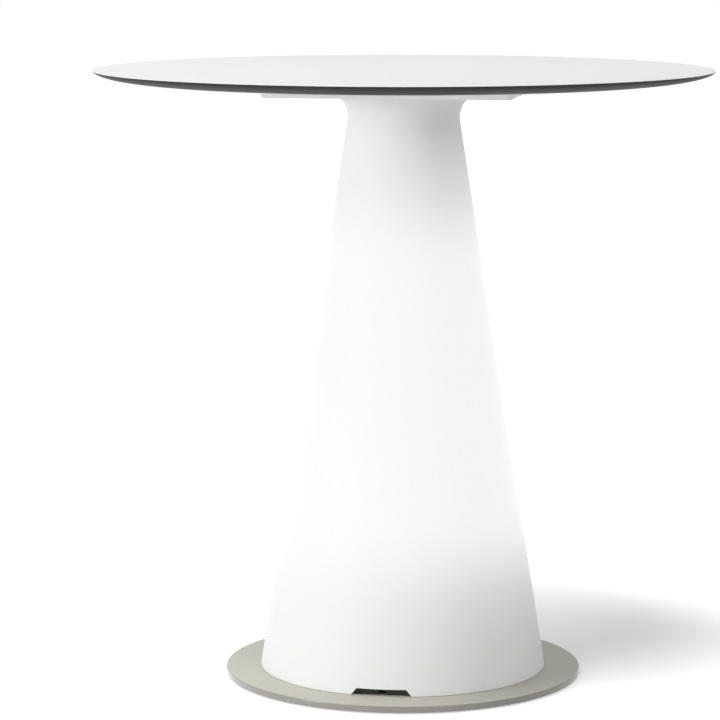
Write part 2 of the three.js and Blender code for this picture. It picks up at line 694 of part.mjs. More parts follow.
function glandCap() {
  const low = GLAND_HEX_LENGTH + FIT_GAP;
  const high = low + GLAND_CAP_LENGTH;
  const outer = GLAND_CAP_DIAMETER / 2;
  const noseEnd = GLAND_HEX_LENGTH + GLAND_NOSE_LENGTH + FIT_GAP;
  const cap = turned(
    [
      [GLAND_THREAD_DIAMETER / 2 + FIT_GAP, low],
      [outer, low],
      [outer, high - GLAND_CAP_LENGTH / 3],
      [outer - GLAND_CAP_LENGTH / 3, high],
      [GLAND_BORE / 2, high],
      [GLAND_BORE / 2, noseEnd],
      [GLAND_THREAD_DIAMETER / 2 + FIT_GAP, noseEnd],
    ],
    SMALL_SIDES,
  );
  return alongY(cap, boxFront, glandLevel);
}

function glandNut() {
  const bore = GLAND_THREAD_DIAMETER + 2 * FIT_GAP;
  const nut = cut(rod(GLAND_HEX_DIAMETER, -BOX_WALL - GLAND_NUT_LENGTH, -BOX_WALL, HEX_SIDES), [
    rod(bore, -BOX_WALL - GLAND_NUT_LENGTH - OVERRUN, -BOX_WALL + OVERRUN, SMALL_SIDES),
  ]);
  return alongY(nut, boxFront, glandLevel);
}

// The lamp stem and its base

function stemBase() {
  const foot = STEM_BASE_DIAMETER / 2;
  const crown = STEM_BASE_TOP_DIAMETER / 2;
  const bore = STEM_DIAMETER / 2 + FIT_GAP;
  const wall = STEM_BASE_WALL;
  const shell = turned(
    [
      [foot - wall, plateTop],
      [stemBrimRadius, plateTop],
      [stemBrimRadius, plateTop + wall],
      [foot, plateTop + wall],
      [crown, stemBaseTop],
      [bore, stemBaseTop],
      [bore, stemBaseTop - wall],
      [crown - wall, stemBaseTop - wall],
      [foot - wall, plateTop + wall],
    ],
    MIDDLE_SIDES,
  );
  const hole = rod(SMALL_SCREW_DIAMETER + 2 * FIT_GAP, plateTop - OVERRUN, plateTop + OVERRUN, SMALL_SIDES);
  const leadHole = rod(LEAD_DIAMETER + 2 * FIT_GAP, 0, stemBrimRadius, SMALL_SIDES);
  return cut(shell, [
    ...stemScrewPlaces.map((place) => movedTo(hole, place)),
    alongY(leadHole, 0, leadLevel),
  ]);
}

function stemNut(low) {
  const nut = rod(STEM_NUT_DIAMETER, low, low + STEM_NUT_HEIGHT, HEX_SIDES);
  const bore = rod(STEM_DIAMETER + 2 * FIT_GAP, low - OVERRUN, low + STEM_NUT_HEIGHT + OVERRUN, SMALL_SIDES);
  return cut(nut, [bore]);
}

// Heights of the lamp's pieces, worked down from the middle of its globe
const globeRadius = GLOBE_DIAMETER / 2;
const heatsinkTop = LAMP_HEIGHT - Math.sqrt(globeRadius ** 2 - (HEATSINK_TOP_DIAMETER / 2) ** 2);
const heatsinkLow = heatsinkTop - HEATSINK_HEIGHT;
const holderTop = heatsinkLow - FIT_GAP;
const holderLow = holderTop - HOLDER_HEIGHT;
const stemTop = holderLow + HOLDER_STEM_DEPTH;
const stemLow = stemBaseTop - STEM_BASE_WALL - STEM_NUT_HEIGHT;
const leadTop = stemTop + FIT_GAP;

function lampStem() {
  return sleeve(STEM_DIAMETER, STEM_BORE, stemLow, stemTop, SMALL_SIDES);
}

function lampLead() {
  const bendEnd = leadLevel + LEAD_BEND_RADIUS;
  const start = boxMiddle + BLOCK_DEPTH / 2 + FIT_GAP;
  const route = new THREE.CurvePath();
  const bendStart = new THREE.Vector3(0, -LEAD_BEND_RADIUS, leadLevel);
  const bendTop = new THREE.Vector3(0, 0, bendEnd);
  route.add(new THREE.LineCurve3(new THREE.Vector3(0, start, leadLevel), bendStart));
  route.add(new THREE.QuadraticBezierCurve3(bendStart, new THREE.Vector3(0, 0, leadLevel), bendTop));
  route.add(new THREE.LineCurve3(bendTop, new THREE.Vector3(0, 0, leadTop)));
  const section = new THREE.Shape();
  section.absarc(0, 0, LEAD_DIAMETER / 2, 0, 2 * Math.PI);
  return new THREE.ExtrudeGeometry(section, {
    steps: LEAD_STEPS,
    curveSegments: LEAD_CORNERS,
    extrudePath: route,
  });
}

function lampholder() {
  const neckRadius = HOLDER_NECK_DIAMETER / 2;
  const radius = HOLDER_DIAMETER / 2;
  const socketRadius = LAMP_CAP_DIAMETER / 2 + FIT_GAP;
  const socketLow = holderTop - LAMP_CAP_HEIGHT - LAMP_CONTACT_HEIGHT;
  const outside = turned(
    [
      [0, holderLow],
      [neckRadius, holderLow],
      [neckRadius, holderLow + HOLDER_NECK_HEIGHT],
      [radius - HOLDER_CHAMFER, holderLow + HOLDER_NECK_HEIGHT],
      [radius, holderLow + HOLDER_NECK_HEIGHT + HOLDER_CHAMFER],
      [radius, holderTop],
      [0, holderTop],
    ],
    MIDDLE_SIDES,
  );
  const stemSeat = rod(STEM_DIAMETER + 2 * FIT_GAP, holderLow - OVERRUN, stemTop + FIT_GAP, SMALL_SIDES);
  const leadBore = rod(LEAD_DIAMETER + 2 * FIT_GAP, holderLow, stemTop + OVERRUN, SMALL_SIDES);
  const socket = rod(2 * socketRadius, socketLow, holderTop + OVERRUN, MIDDLE_SIDES);
  return cut(outside, [stemSeat, leadBore, socket]);
}

function lampCap() {
  const radius = LAMP_CAP_DIAMETER / 2;
  const low = heatsinkLow - LAMP_CAP_HEIGHT;
  const contactRadius = LAMP_CONTACT_DIAMETER / 2;
  return turned(
    [
      [0, low - LAMP_CONTACT_HEIGHT],
      [contactRadius, low - LAMP_CONTACT_HEIGHT],
      [radius, low],
      [radius, heatsinkLow],
      [0, heatsinkLow],
    ],
    MIDDLE_SIDES,
  );
}

function lampHeatsink() {
  const footRadius = HEATSINK_FOOT_DIAMETER / 2;
  const topRadius = HEATSINK_TOP_DIAMETER / 2;
  return turned(
    [
      [0, heatsinkLow],
      [footRadius, heatsinkLow],
      [topRadius, heatsinkTop - HEATSINK_HEIGHT / 4],
      [topRadius, heatsinkTop],
      [0, heatsinkTop],
    ],
    MIDDLE_SIDES,
  );
}

function ledBoard() {
  return rod(LED_BOARD_DIAMETER, heatsinkTop, heatsinkTop + LED_BOARD_THICKNESS, MIDDLE_SIDES);
}

// The globe is a thin shell that stands on the rim of the heatsink.
function lampGlobe() {
  const innerRadius = globeRadius - GLOBE_WALL;
  const drop = LAMP_HEIGHT - heatsinkTop;
  const shellPoints = (radius) => {
    const lowest = -Math.asin(drop / radius);
    return Array.from({ length: GLOBE_STEPS + 1 }, (_, step) => {
      const angle = lowest + ((Math.PI / 2 - lowest) * step) / GLOBE_STEPS;
      return [step < GLOBE_STEPS ? radius * Math.cos(angle) : 0, LAMP_HEIGHT + radius * Math.sin(angle)];
    });
  };
  const points = [...shellPoints(globeRadius), ...shellPoints(innerRadius).reverse()];
  return turned(points, MIDDLE_SIDES);
}

// Assembly: one named mesh for each piece, in a group for each part of the table

function piece(name, geometry, material, place = [0, 0]) {
  const mesh = new THREE.Mesh(geometry, material);
  mesh.name = name;
  mesh.position.set(place[0], place[1], 0);
  return mesh;
}

function pieces(name, geometry, material, places) {
  return places.map((place, index) => piece(`${name}_${index + 1}`, geometry, material, place));
}

function groupOf(...members) {
  const group = new THREE.Group();
  group.add(...members.flat());
  return group;
}

const tabletop = groupOf(
  piece("tabletop_core", tabletopCore(), blackLaminate),
  piece("tabletop_face", tabletopFace(), whiteLaminate),
  piece("tabletop_backing", tabletopBacking(), whiteLaminate),
  pieces("top_insert", topInsert(), brass, flangeBoltPlaces),
  pieces("top_screw", topScrew(), steel, flangeBoltPlaces),
);

const pedestal = groupOf(
  piece("cone_body", coneBody(), translucentPlastic),
  pieces("foot_insert", footInsert(), brass, baseScrewPlaces),
  piece("cable_grommet", cableGrommet(), blackRubber),
);

const base = groupOf(
  piece("base_plate", basePlate(), plateCoating),
  pieces("base_screw", baseScrew(), steel, baseScrewPlaces),
  pieces("glide_stud", glideStud(), steel, glidePlaces),
  pieces("glide_pad", glidePad(), blackNylon, glidePlaces),
);

const lidSeat = plateTop + BOX_HEIGHT + BOX_LID_THICKNESS;
const plateGrip = plateTop - SMALL_SCREW_GRIP;
const lightKit = groupOf(
  piece("terminal_box", terminalBox(), greyPlastic),
  piece("terminal_lid", terminalLid(), greyPlastic),
  piece("terminal_block", terminalBlock(), paleCeramic),
  pieces("box_screw", smallScrew(plateTop + BOX_WALL, plateGrip), steel, boxScrewPlaces),
  pieces("lid_screw", smallScrew(lidSeat, lidSeat - BOX_HEIGHT / 2), steel, lidScrewPlaces),
  piece("cable_gland", cableGland(), blackNylon),
  piece("gland_cap", glandCap(), blackNylon),
  piece("gland_nut", glandNut(), blackNylon),
  piece("stem_base", stemBase(), whiteEnamel),
  pieces("stem_base_screw", smallScrew(plateTop + STEM_BASE_WALL, plateGrip), steel, stemScrewPlaces),
  piece("stem_nut_upper", stemNut(stemBaseTop), steel),
  piece("stem_nut_lower", stemNut(stemLow), steel),
  piece("lamp_stem", lampStem(), whiteEnamel),
  piece("lamp_lead", lampLead(), whiteEnamel),
  piece("lampholder", lampholder(), paleCeramic),
  piece("lamp_cap", lampCap(), brass),
  piece("lamp_heatsink", lampHeatsink(), whiteEnamel),
  piece("led_board", ledBoard(), paleCeramic),
  piece("lamp_globe", lampGlobe(), opalPlastic),
);

export default groupOf(tabletop, pedestal, base, lightKit);
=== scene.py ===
import math

import bmesh
import bpy
from mathutils import Matrix, Vector


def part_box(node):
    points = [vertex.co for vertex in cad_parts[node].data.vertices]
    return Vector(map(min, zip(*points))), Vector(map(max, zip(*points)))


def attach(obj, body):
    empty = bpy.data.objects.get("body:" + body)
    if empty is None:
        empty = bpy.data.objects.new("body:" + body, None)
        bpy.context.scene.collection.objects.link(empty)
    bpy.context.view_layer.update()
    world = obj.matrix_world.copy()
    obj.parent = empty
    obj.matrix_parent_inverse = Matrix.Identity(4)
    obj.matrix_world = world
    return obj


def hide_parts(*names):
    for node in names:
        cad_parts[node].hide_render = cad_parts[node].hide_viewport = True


# A round cafe table with a thin black-cored laminate top. It stands on a hollow cone of white
# plastic that is lit from inside, on a round satin plate with four levelling glides.
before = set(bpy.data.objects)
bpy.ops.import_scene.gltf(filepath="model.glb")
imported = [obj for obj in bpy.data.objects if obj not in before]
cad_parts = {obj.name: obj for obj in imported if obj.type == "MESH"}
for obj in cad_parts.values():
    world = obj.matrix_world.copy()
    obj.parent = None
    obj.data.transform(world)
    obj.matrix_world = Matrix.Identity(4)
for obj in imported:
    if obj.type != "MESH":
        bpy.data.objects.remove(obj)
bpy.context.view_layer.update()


# Sizes, in metres

# Cone: the lines of its side meet the plate and the flange at these radii
FOOT_RADIUS = 0.177
NECK_RADIUS = 0.0635
WALL = 0.005
NECK_FILLET = 0.03
FOOT_EDGE_RADIUS = 0.002
FOOT_RING_WIDTH = 0.038
FOOT_RING_THICKNESS = 0.006
FLANGE_THICKNESS = 0.015
FLANGE_CORNER_RADIUS = 0.008
FLANGE_EDGE_RADIUS = 0.002
FLANGE_SCREW_MARGIN = 0.025
NOTCH_FOOT_WIDTH = 0.075
NOTCH_TOP_WIDTH = 0.06
NOTCH_HEIGHT = 0.009
TOP_SCREW_RECESS_RADIUS = 0.007
TOP_SCREW_RECESS_DEPTH = 0.006
TOP_SCREW_HOLE_RADIUS = 0.0033

# Tabletop: how far its edge curves in underneath, and the powers of that curve
TOP_EDGE_INSET = 0.05
EDGE_INSET_POWER = 1.5
EDGE_DEPTH_POWER = 0.55
SHEET_EDGE_RADIUS = 0.00015

# Base plate
PLATE_EDGE_RADIUS = 0.0012
# Share of the colour kept on the plate's rim, which painted shade makes darker
PLATE_RIM_PAINTED_SHADE_SHARE = 0.5
FIT_GAP = 0.0003
SINK_RADIUS = 0.008
BASE_SHANK_RADIUS = 0.004
GLIDE_SOCKET_DEPTH = 0.0062
TAP_DEPTH = 0.0053
TAP_RADIUS = 0.0023

# How far a cutting shape runs past the face that it cuts
OVERRUN = 0.005

# Screws, threads and inserts
CORNER_COUNT = 4
STEM_BASE_SCREW_COUNT = 3
BOX_SCREW_COUNT = 2
THREAD_DEPTH_SHARE = 0.5
SCREW_EDGE_RADIUS = 0.0004
TOP_SHANK_RADIUS = 0.003
TOP_PITCH = 0.001
TOP_SOCKET = 0.002
TOP_HEAD_ROUNDING = 0.0015
BASE_PITCH = 0.00125
BASE_SOCKET = 0.0025
BASE_SOCKET_DEPTH = 0.0025
SMALL_SHANK_RADIUS = 0.002
SMALL_PITCH = 0.0007
SMALL_SOCKET = 0.00125
SMALL_HEAD_HEIGHT = 0.0025
KNURL_COUNT = 24
KNURL_DEPTH = 0.0003
INSERT_GROOVE = 0.0004
INSERT_BAND_SHARES = (0.08, 0.42, 0.56, 0.92)

# Glides and grommet
PAD_GROOVE = 0.0004
PAD_EDGE_RADIUS = 0.0005
CORD_SLOT_WIDTH = 0.009
CORD_SLOT_HEIGHT = 0.007
GROMMET_LIP_LENGTH = 0.005
GROMMET_GROOVE = 0.0008
GROMMET_BEVEL = 0.0006

# Terminal box and gland
BOX_WALL = 0.0025
BOX_EDGE_RADIUS = 0.0008
BOX_POST_RADIUS = 0.004
BLOCK_PORT_RADIUS = 0.002
BLOCK_PORT_SPACING = 0.01
BLOCK_GROOVE = 0.0006
GLAND_BORE_RADIUS = 0.0038
GLAND_THREAD_RADIUS = 0.006
GLAND_PITCH = 0.0015
GLAND_HALF_HEX = 0.0078
GLAND_HEX_LENGTH = 0.004
GLAND_NOSE_LENGTH = 0.006
GLAND_CAP_RADIUS = 0.008
GLAND_CAP_LENGTH = 0.007
GLAND_NUT_LENGTH = 0.003
GRIP_COUNT = 16
GRIP_DEPTH = 0.0006
GRIP_POWER = 4

# Lamp stem and lead
STEM_BASE_WALL = 0.0025
STEM_FOOT_RADIUS = 0.038
STEM_CROWN_RADIUS = 0.026
STEM_RADIUS = 0.008
STEM_BORE_RADIUS = 0.006
STEM_PITCH = 0.001
STEM_THREAD_MARGIN = 0.008
STEM_NUT_HALF = 0.0116
LEAD_RADIUS = 0.0025
LEAD_BEND_RADIUS = 0.02
LEAD_HEIGHT = 0.012

# Lamp
HOLDER_NECK_RADIUS = 0.013
HOLDER_NECK_HEIGHT = 0.01
HOLDER_EDGE_RADIUS = 0.004
HOLDER_GROOVE = 0.0008
LAMP_CONTACT_RADIUS = 0.005
LAMP_CONTACT_HEIGHT = 0.003
LAMP_PITCH = 0.0036
LAMP_THREAD_DEPTH = 0.001
HEATSINK_FOOT_RADIUS = 0.015
HEATSINK_CORE_RADIUS = 0.012
HEATSINK_RIM = 0.003
HEATSINK_FIN = 0.0012
HEATSINK_FINS = 24
LED_SIDE = 0.0028
LED_HEIGHT = 0.0006
LED_COUNT = 12
LED_RING_SHARES = ((1, 0.72), (2, 0.38))
GLOBE_WALL = 0.0015

# Camera, from the ellipses of the top and of the plate in the photograph
CAMERA_AZIMUTH = math.radians(8.5)
CAMERA_DISTANCE = 3.841
CAMERA_HEIGHT = 0.945
CAMERA_PITCH = math.radians(8.19)
CAMERA_TURN = math.radians(0.796)
CAMERA_LENS = 157.3
CAMERA_SENSOR = 36

# Facets
RIM_SIDES = 288
EDGE_RINGS = 24
EDGE_CROWDING = 2
SHEET_EDGE_STEPS = 3
PLATE_EDGE_STEPS = 5
CONE_COLUMNS = 240
HALF_COLUMNS = CONE_COLUMNS // 2
NOTCH_COLUMNS = 7
NOTCH_FADE_HEIGHT = 10 * NOTCH_HEIGHT
FLANGE_CORNER_COLUMNS = 6
CUT_SIDES = 48
ARC_STEPS = 8
FILLET_STEPS = 20
SIDE_STEPS = 24
THREAD_SIDES = 20
ROWS_PER_TURN = 6
FIXING_SIDES = 48
KNURL_SIDES = 96
BLOCK_EDGE_STEPS = 3
GLOBE_STEPS = 32
MERGE_DISTANCE = 1e-6
SMOOTH_ANGLE = math.radians(32)


# What the frame gives

def place_of(node):
    """The middle of a node of the frame, seen from above."""
    low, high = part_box(node)
    return Vector(((low.x + high.x) / 2, (low.y + high.y) / 2, 0))


def radius_of(node):
    """Half the width of a node of the frame."""
    low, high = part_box(node)
    return (high.x - low.x) / 2


def numbered(prefix, count):
    """The names of a set of nodes."""
    return [f"{prefix}_{number}" for number in range(1, count + 1)]


TOP_SCREWS = numbered("top_screw", CORNER_COUNT)
STEM_BASE_SCREWS = numbered("stem_base_screw", STEM_BASE_SCREW_COUNT)
BOX_SCREWS = numbered("box_screw", BOX_SCREW_COUNT)
LID_SCREWS = numbered("lid_screw", BOX_SCREW_COUNT)

plate_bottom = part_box("base_plate")[0].z
plate_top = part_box("base_plate")[1].z
plate_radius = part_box("base_plate")[1].x
top_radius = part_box("tabletop_face")[1].x
table_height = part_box("tabletop_face")[1].z
core_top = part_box("tabletop_core")[1].z
core_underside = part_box("tabletop_core")[0].z
backing_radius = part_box("tabletop_backing")[1].x
insert_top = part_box("top_insert_1")[1].z
flange_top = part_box("cone_body")[1].z
flange_underside = flange_top - FLANGE_THICKNESS
flange_side = 2 * (place_of("top_screw_1").x + FLANGE_SCREW_MARGIN)
recess_top = flange_underside + TOP_SCREW_RECESS_DEPTH
cone_slope = (FOOT_RADIUS - NECK_RADIUS) / (flange_underside - plate_top)
wall_across = WALL * math.hypot(1, cone_slope)
ring_inner_radius = FOOT_RADIUS - FOOT_RING_WIDTH
notch_top = plate_top + NOTCH_HEIGHT
sink_end = plate_bottom + SINK_RADIUS - BASE_SHANK_RADIUS
gland_level = (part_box("gland_cap")[0].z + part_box("gland_cap")[1].z) / 2
lead_level = plate_top + LEAD_HEIGHT


# Meshes

def arc_points(before, corner, after, radius, steps=ARC_STEPS):
    """The points of an arc that rounds the corner between two straight lines, as (radius, height)."""
    corner = Vector(corner)
    to_before = (Vector(before) - corner).normalized()
    to_after = (Vector(after) - corner).normalized()
    half_angle = to_before.angle(to_after) / 2
    centre = corner + (to_before + to_after).normalized() * radius / math.sin(half_angle)
    reach = radius / math.tan(half_angle)
    start = corner + to_before * reach - centre
    sweep = start.angle_signed(corner + to_after * reach - centre)
    points = []
    for step in range(steps + 1):
        spoke = start.copy()
        spoke.rotate(Matrix.Rotation(-sweep * step / steps, 2))
        points.append(tuple(centre + spoke))
    return points


def closed_out(mesh):
    """The mesh itself, with its doubles merged and its faces turned to point out."""
    shape = bmesh.new()
    shape.from_mesh(mesh)
    bmesh.ops.remove_doubles(shape, verts=shape.verts, dist=MERGE_DISTANCE / 10)
    bmesh.ops.recalc_face_normals(shape, faces=shape.faces)
    shape.to_mesh(mesh)
    shape.free()
    return mesh


def mesh_from(vertices, faces):
    """A closed mesh from its points and faces."""
    mesh = bpy.data.meshes.new("piece")
    mesh.from_pydata(vertices, [], faces)
    return closed_out(mesh)


def turned(profile, sides, place=(0, 0, 0)):
    """A closed turned shape about Z. The profile is (radius, height), from axis to axis or in a loop.

    A third value is a function of radius and angle, for a rim that isn't round.
    """
    vertices = []
    rows = []
    for radius, height, *form in profile:
        count = sides if radius > 0 else 1
        rows.append([len(vertices) + index for index in range(count)])
        for index in range(count):
            angle = 2 * math.pi * index / sides
            reach = form[0](radius, angle) if form else radius
            spoke = Vector((reach * math.cos(angle), reach * math.sin(angle), height))
            vertices.append(Vector(place) + spoke)
    if profile[0][0] > 0:
        rows.append(rows[0])
    faces = []
    for low, high in zip(rows, rows[1:]):
        for index in range(sides):
            ends = (index, (index + 1) % sides)
            corners = [low[end % len(low)] for end in ends]
            corners += [high[end % len(high)] for end in reversed(ends)]
            faces.append(list(dict.fromkeys(corners)))
    return mesh_from(vertices, faces)


def stacked(rows):
    """A closed shape through equal rings of points, filled at both ends."""
    count = len(rows[0])
    last = (len(rows) - 1) * count
    faces = [list(range(count)), list(range(last, last + count))]
    for start in range(0, last, count):
        for index in range(count):
            here = start + index
            following = start + (index + 1) % count
            faces.append([here, following, following + count, here + count])
    return mesh_from([point for row in rows for point in row], faces)


def rod(radius, low, high, sides=CUT_SIDES, place=(0, 0, 0)):
    """A solid cylinder about Z between two levels."""
    return turned([(0, low), (radius, low), (radius, high), (0, high)], sides, place)


def bores(radius, low, high, nodes):
    """Cutting rods at the places of some nodes."""
    return [rod(radius, low, high, CUT_SIDES, place_of(node)) for node in nodes]


def joined(meshes):
    """Several meshes as one."""
    shape = bmesh.new()
    for mesh in meshes:
        shape.from_mesh(mesh)
    result = bpy.data.meshes.new("piece")
    shape.to_mesh(result)
    shape.free()
    return result


def object_of(name, mesh):
    """A mesh as an object in the scene."""
    made = bpy.data.objects.new(name, mesh)
    bpy.context.scene.collection.objects.link(made)
    return made


def settled(source):
    """The evaluated mesh of an object, which is then removed."""
    depsgraph = bpy.context.evaluated_depsgraph_get()
    mesh = bpy.data.meshes.new_from_object(source.evaluated_get(depsgraph), depsgraph=depsgraph)
    bpy.data.objects.remove(source)
    return mesh


def cut(mesh, cutters):
    """A mesh with the cutters taken out of it."""
    source = object_of("uncut", mesh)
    tool = object_of("cutters", joined(cutters))
    boolean = source.modifiers.new("cut", "BOOLEAN")
    boolean.solver = "EXACT"
    boolean.object = tool
    result = settled(source)
    bpy.data.objects.remove(tool)
    return result


def show(name, mesh, slot, *nodes, body="table"):
    """A finished piece that rides on a body and stands for nodes of the frame."""
    mesh.name = name
    mesh.shade_smooth()
    mesh.set_sharp_from_angle(angle=SMOOTH_ANGLE)
    mesh.materials.clear()
    mesh.materials.append(MATERIALS[slot])
    piece = object_of(name, mesh)
    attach(piece, body)
    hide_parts(*nodes)


# Node trees

class Value:
    """An output of a node, with which sums are written as usual."""

    def __init__(self, tree, socket):
        self.tree = tree
        self.socket = socket

    def __add__(self, other):
        return self.tree.math("ADD", self, other)

    def __sub__(self, other):
        return self.tree.math("SUBTRACT", self, other)

    def __rsub__(self, other):
        return self.tree.math("SUBTRACT", other, self)

    def __mul__(self, other):
        return self.tree.math("MULTIPLY", self, other)

    def __truediv__(self, other):
        return self.tree.math("DIVIDE", self, other)

    def __mod__(self, other):
        return self.tree.math("MODULO", self, other)

    def __pow__(self, other):
        return self.tree.math("POWER", self, other)

    def clamped(self):
        """The same sum, kept between zero and one."""
        self.socket.node.use_clamp = True
        return self


class Tree:
    """A node tree in the making."""

    def __init__(self, tree):
        self.tree = tree

    def feed(self, socket, value):
        """Links a value to a socket, or sets it there."""
        if isinstance(value, Value):
            self.tree.links.new(value.socket, socket)
        else:
            socket.default_value = value

    def source(self, socket):
        """The value that feeds a socket."""
        return Value(self, socket.links[0].from_socket)

    def node(self, kind, inputs=None, **settings):
        """Adds a node, and sets or links its inputs."""
        made = self.tree.nodes.new(kind)
        for key, value in settings.items():
            setattr(made, key, value)
        for key, value in (inputs or {}).items():
            self.feed(made.inputs[key], value)
        return made

    def values(self, kind, labels, inputs=None, **settings):
        """Adds a node, and gives some of its outputs."""
        made = self.node(kind, inputs, **settings)
        return [Value(self, made.outputs[label]) for label in labels]

    def value(self, kind, label, inputs=None, **settings):
        """Adds a node, and gives one of its outputs."""
        return self.values(kind, [label], inputs, **settings)[0]

    def math(self, operation, first, second=0):
        """The result of a math node."""
        return self.value("ShaderNodeMath", 0, {0: first, 1: second}, operation=operation)

    def vector_math(self, operation, output, first, second=(0, 0, 0)):
        """A result of a vector math node."""
        return self.value("ShaderNodeVectorMath", output, {0: first, 1: second}, operation=operation)

    def ranged(self, value, low, high, start=0, end=1, **settings):
        """A value carried over from one range to another."""
        inputs = {"Value": value, "From Min": low, "From Max": high, "To Min": start, "To Max": end}
        return self.value("ShaderNodeMapRange", "Result", inputs, **settings)

    def on_circle(self, radius, angle, height=0):
        """The place at a radius, an angle and a height."""
        across = radius * self.math("COSINE", angle)
        along = radius * self.math("SINE", angle)
        return self.value("ShaderNodeCombineXYZ", 0, {"X": across, "Y": along, "Z": height})

    def place(self):
        """The place of a point in its object."""
        return self.value("ShaderNodeTexCoord", "Object")

    def noise(self, scale, detail, roughness):
        """Noise that lies still on the object."""
        inputs = {"Vector": self.place(), "Scale": scale, "Detail": detail, "Roughness": roughness}
        return self.value("ShaderNodeTexNoise", "Fac", inputs)

    def shaded(self, color, shade):
        """A colour times a shade."""
        inputs = {"Factor": 1, 6: color, 7: shade}
        return self.value("ShaderNodeMix", 2, inputs, data_type="RGBA", blend_type="MULTIPLY")


def group_tree(name, kind, inputs, outputs):
    """A node group. Its inputs and outputs are given as the names of each kind of socket."""
    group = bpy.data.node_groups.new(name, kind)
    for direction, sockets in (("INPUT", inputs), ("OUTPUT", outputs)):
        for socket, labels in sockets.items():
            for label in labels:
                group.interface.new_socket(label, in_out=direction, socket_type=f"NodeSocket{socket}")
    tree = Tree(group)
    given = {socket.name: Value(tree, socket) for socket in tree.node("NodeGroupInput").outputs}
    return tree, given, tree.node("NodeGroupOutput").inputs


# Shader groups

# Detail and roughness of the noises, and how they are mixed
GRAIN_NOISE = (3, 0.6)
SLOW_NOISE = (4, 0.55)
FINE_NOISE = (5, 0.6)
FINE_NOISE_SCALE = 9
SLOW_NOISE_SHARE = 0.65
NOISE_LOW = 0.3
NOISE_HIGH = 0.7
MOTTLE_SCALE = 6
GRAIN_HEIGHT = 0.0001


def grain_group():
    """Fine grain of a moulded or painted surface, as a height."""
    inputs = {"Float": ["Scale"]}
    tree, given, result = group_tree("surface_grain", "ShaderNodeTree", inputs, {"Float": ["Height"]})
    tree.feed(result["Height"], tree.noise(given["Scale"], *GRAIN_NOISE))
    return tree.tree


def mottle_group():
    """Soft, slow variation of a surface: a value for its roughness, and its colour made a little uneven."""
    inputs = {"Color": ["Color"], "Float": ["Scale", "Low", "High", "Tone"]}
    outputs = {"Color": ["Color"], "Float": ["Value"]}
    tree, given, result = group_tree("soft_mottle", "ShaderNodeTree", inputs, outputs)
    slow = tree.noise(given["Scale"], *SLOW_NOISE)
    fine = tree.noise(given["Scale"] * FINE_NOISE_SCALE, *FINE_NOISE)
    both = slow * SLOW_NOISE_SHARE + fine * (1 - SLOW_NOISE_SHARE)
    shade = tree.ranged(both, NOISE_LOW, NOISE_HIGH, 1 - given["Tone"], 1)
    tree.feed(result["Value"], tree.ranged(both, NOISE_LOW, NOISE_HIGH, given["Low"], given["High"]))
    tree.feed(result["Color"], tree.shaded(given["Color"], shade))
    return tree.tree


GRAIN = grain_group()
MOTTLE = mottle_group()


# Materials, kept under the names of their slots

MATERIALS = {}
CONE_WHITE = (0.86, 0.86, 0.86)

# Height up the cone, as a share of it, and how much of the light there is the lamp's, painted on the wall as
# glow
GLOW_SHARES = [
    (0, 0.1),
    (0.05, 0.105),
    (0.08, 0.13),
    (0.11, 0.175),
    (0.14, 0.25),
    (0.17, 0.375),
    (0.2, 0.535),
    (0.23, 0.665),
    (0.26, 0.76),
    (0.3, 0.79),
    (0.4, 0.79),
    (0.64, 0.79),
    (0.68, 0.785),
    (0.71, 0.76),
    (0.74, 0.71),
    (0.77, 0.61),
    (0.8, 0.475),
    (0.83, 0.385),
    (0.86, 0.265),
    (0.89, 0.165),
    (0.92, 0.02),
    (0.95, 0),
    (1, 0),
]


def finish(name, color, low, high, grain, bump, tone=0.03, **plain):
    """Makes a material with a little mottle and grain, and gives its tree and its shader's inputs.

    Plain values go on the shader's own sockets.
    """
    material = bpy.data.materials.new(name)
    material.use_nodes = True
    MATERIALS[name] = material
    tree = Tree(material.node_tree)
    sockets = material.node_tree.nodes["Principled BSDF"].inputs
    values = {"Color": (*color, 1), "Scale": MOTTLE_SCALE, "Low": low, "High": high, "Tone": tone}
    base, roughness = tree.values("ShaderNodeGroup", ["Color", "Value"], values, node_tree=MOTTLE)
    fine = tree.value("ShaderNodeGroup", "Height", {"Scale": grain}, node_tree=GRAIN)
    relief = {"Strength": bump, "Distance": GRAIN_HEIGHT, "Height": fine}
    normal = tree.value("ShaderNodeBump", "Normal", relief)
    for label, value in {"Base_Color": base, "Roughness": roughness, "Normal": normal, **plain}.items():
        tree.feed(sockets[label.replace("_", " ")], value)
    return tree, sockets


def lit_plastic():
    """White plastic of the cone. Where the lamp shines through, its light is painted on the wall as glow,
    and the white is toned down by the same share.
    """
    low_gloss = {"tone": 0.015, "Specular_IOR_Level": 0.08}
    tree, sockets = finish("cone_plastic", CONE_WHITE, 0.45, 0.55, 900, 0.25, **low_gloss)
    white = tree.source(sockets["Base Color"])
    height = tree.value("ShaderNodeSeparateXYZ", "Z", {0: tree.place()})
    glow = tree.node("ShaderNodeValToRGB", {"Fac": tree.ranged(height, plate_top, flange_top)})
    ramp = glow.color_ramp
    ramp.interpolation = "B_SPLINE"
    ramp.elements[0].position = GLOW_SHARES[0][0]
    ramp.elements[1].position = GLOW_SHARES[-1][0]
    for position, _ in GLOW_SHARES[1:-1]:
        ramp.elements.new(position)
    for element, (_, level) in zip(ramp.elements, GLOW_SHARES):
        element.color = (level, level, level, 1)
    light = Value(tree, glow.outputs["Color"])
    # Painted glow: the white is made darker where the lamp's light is painted on
    left = tree.value("ShaderNodeInvert", "Color", {"Color": light})
    tree.feed(sockets["Base Color"], tree.shaded(white, left))
    tree.feed(sockets["Emission Color"], light)
    tree.feed(sockets["Emission Strength"], 1)


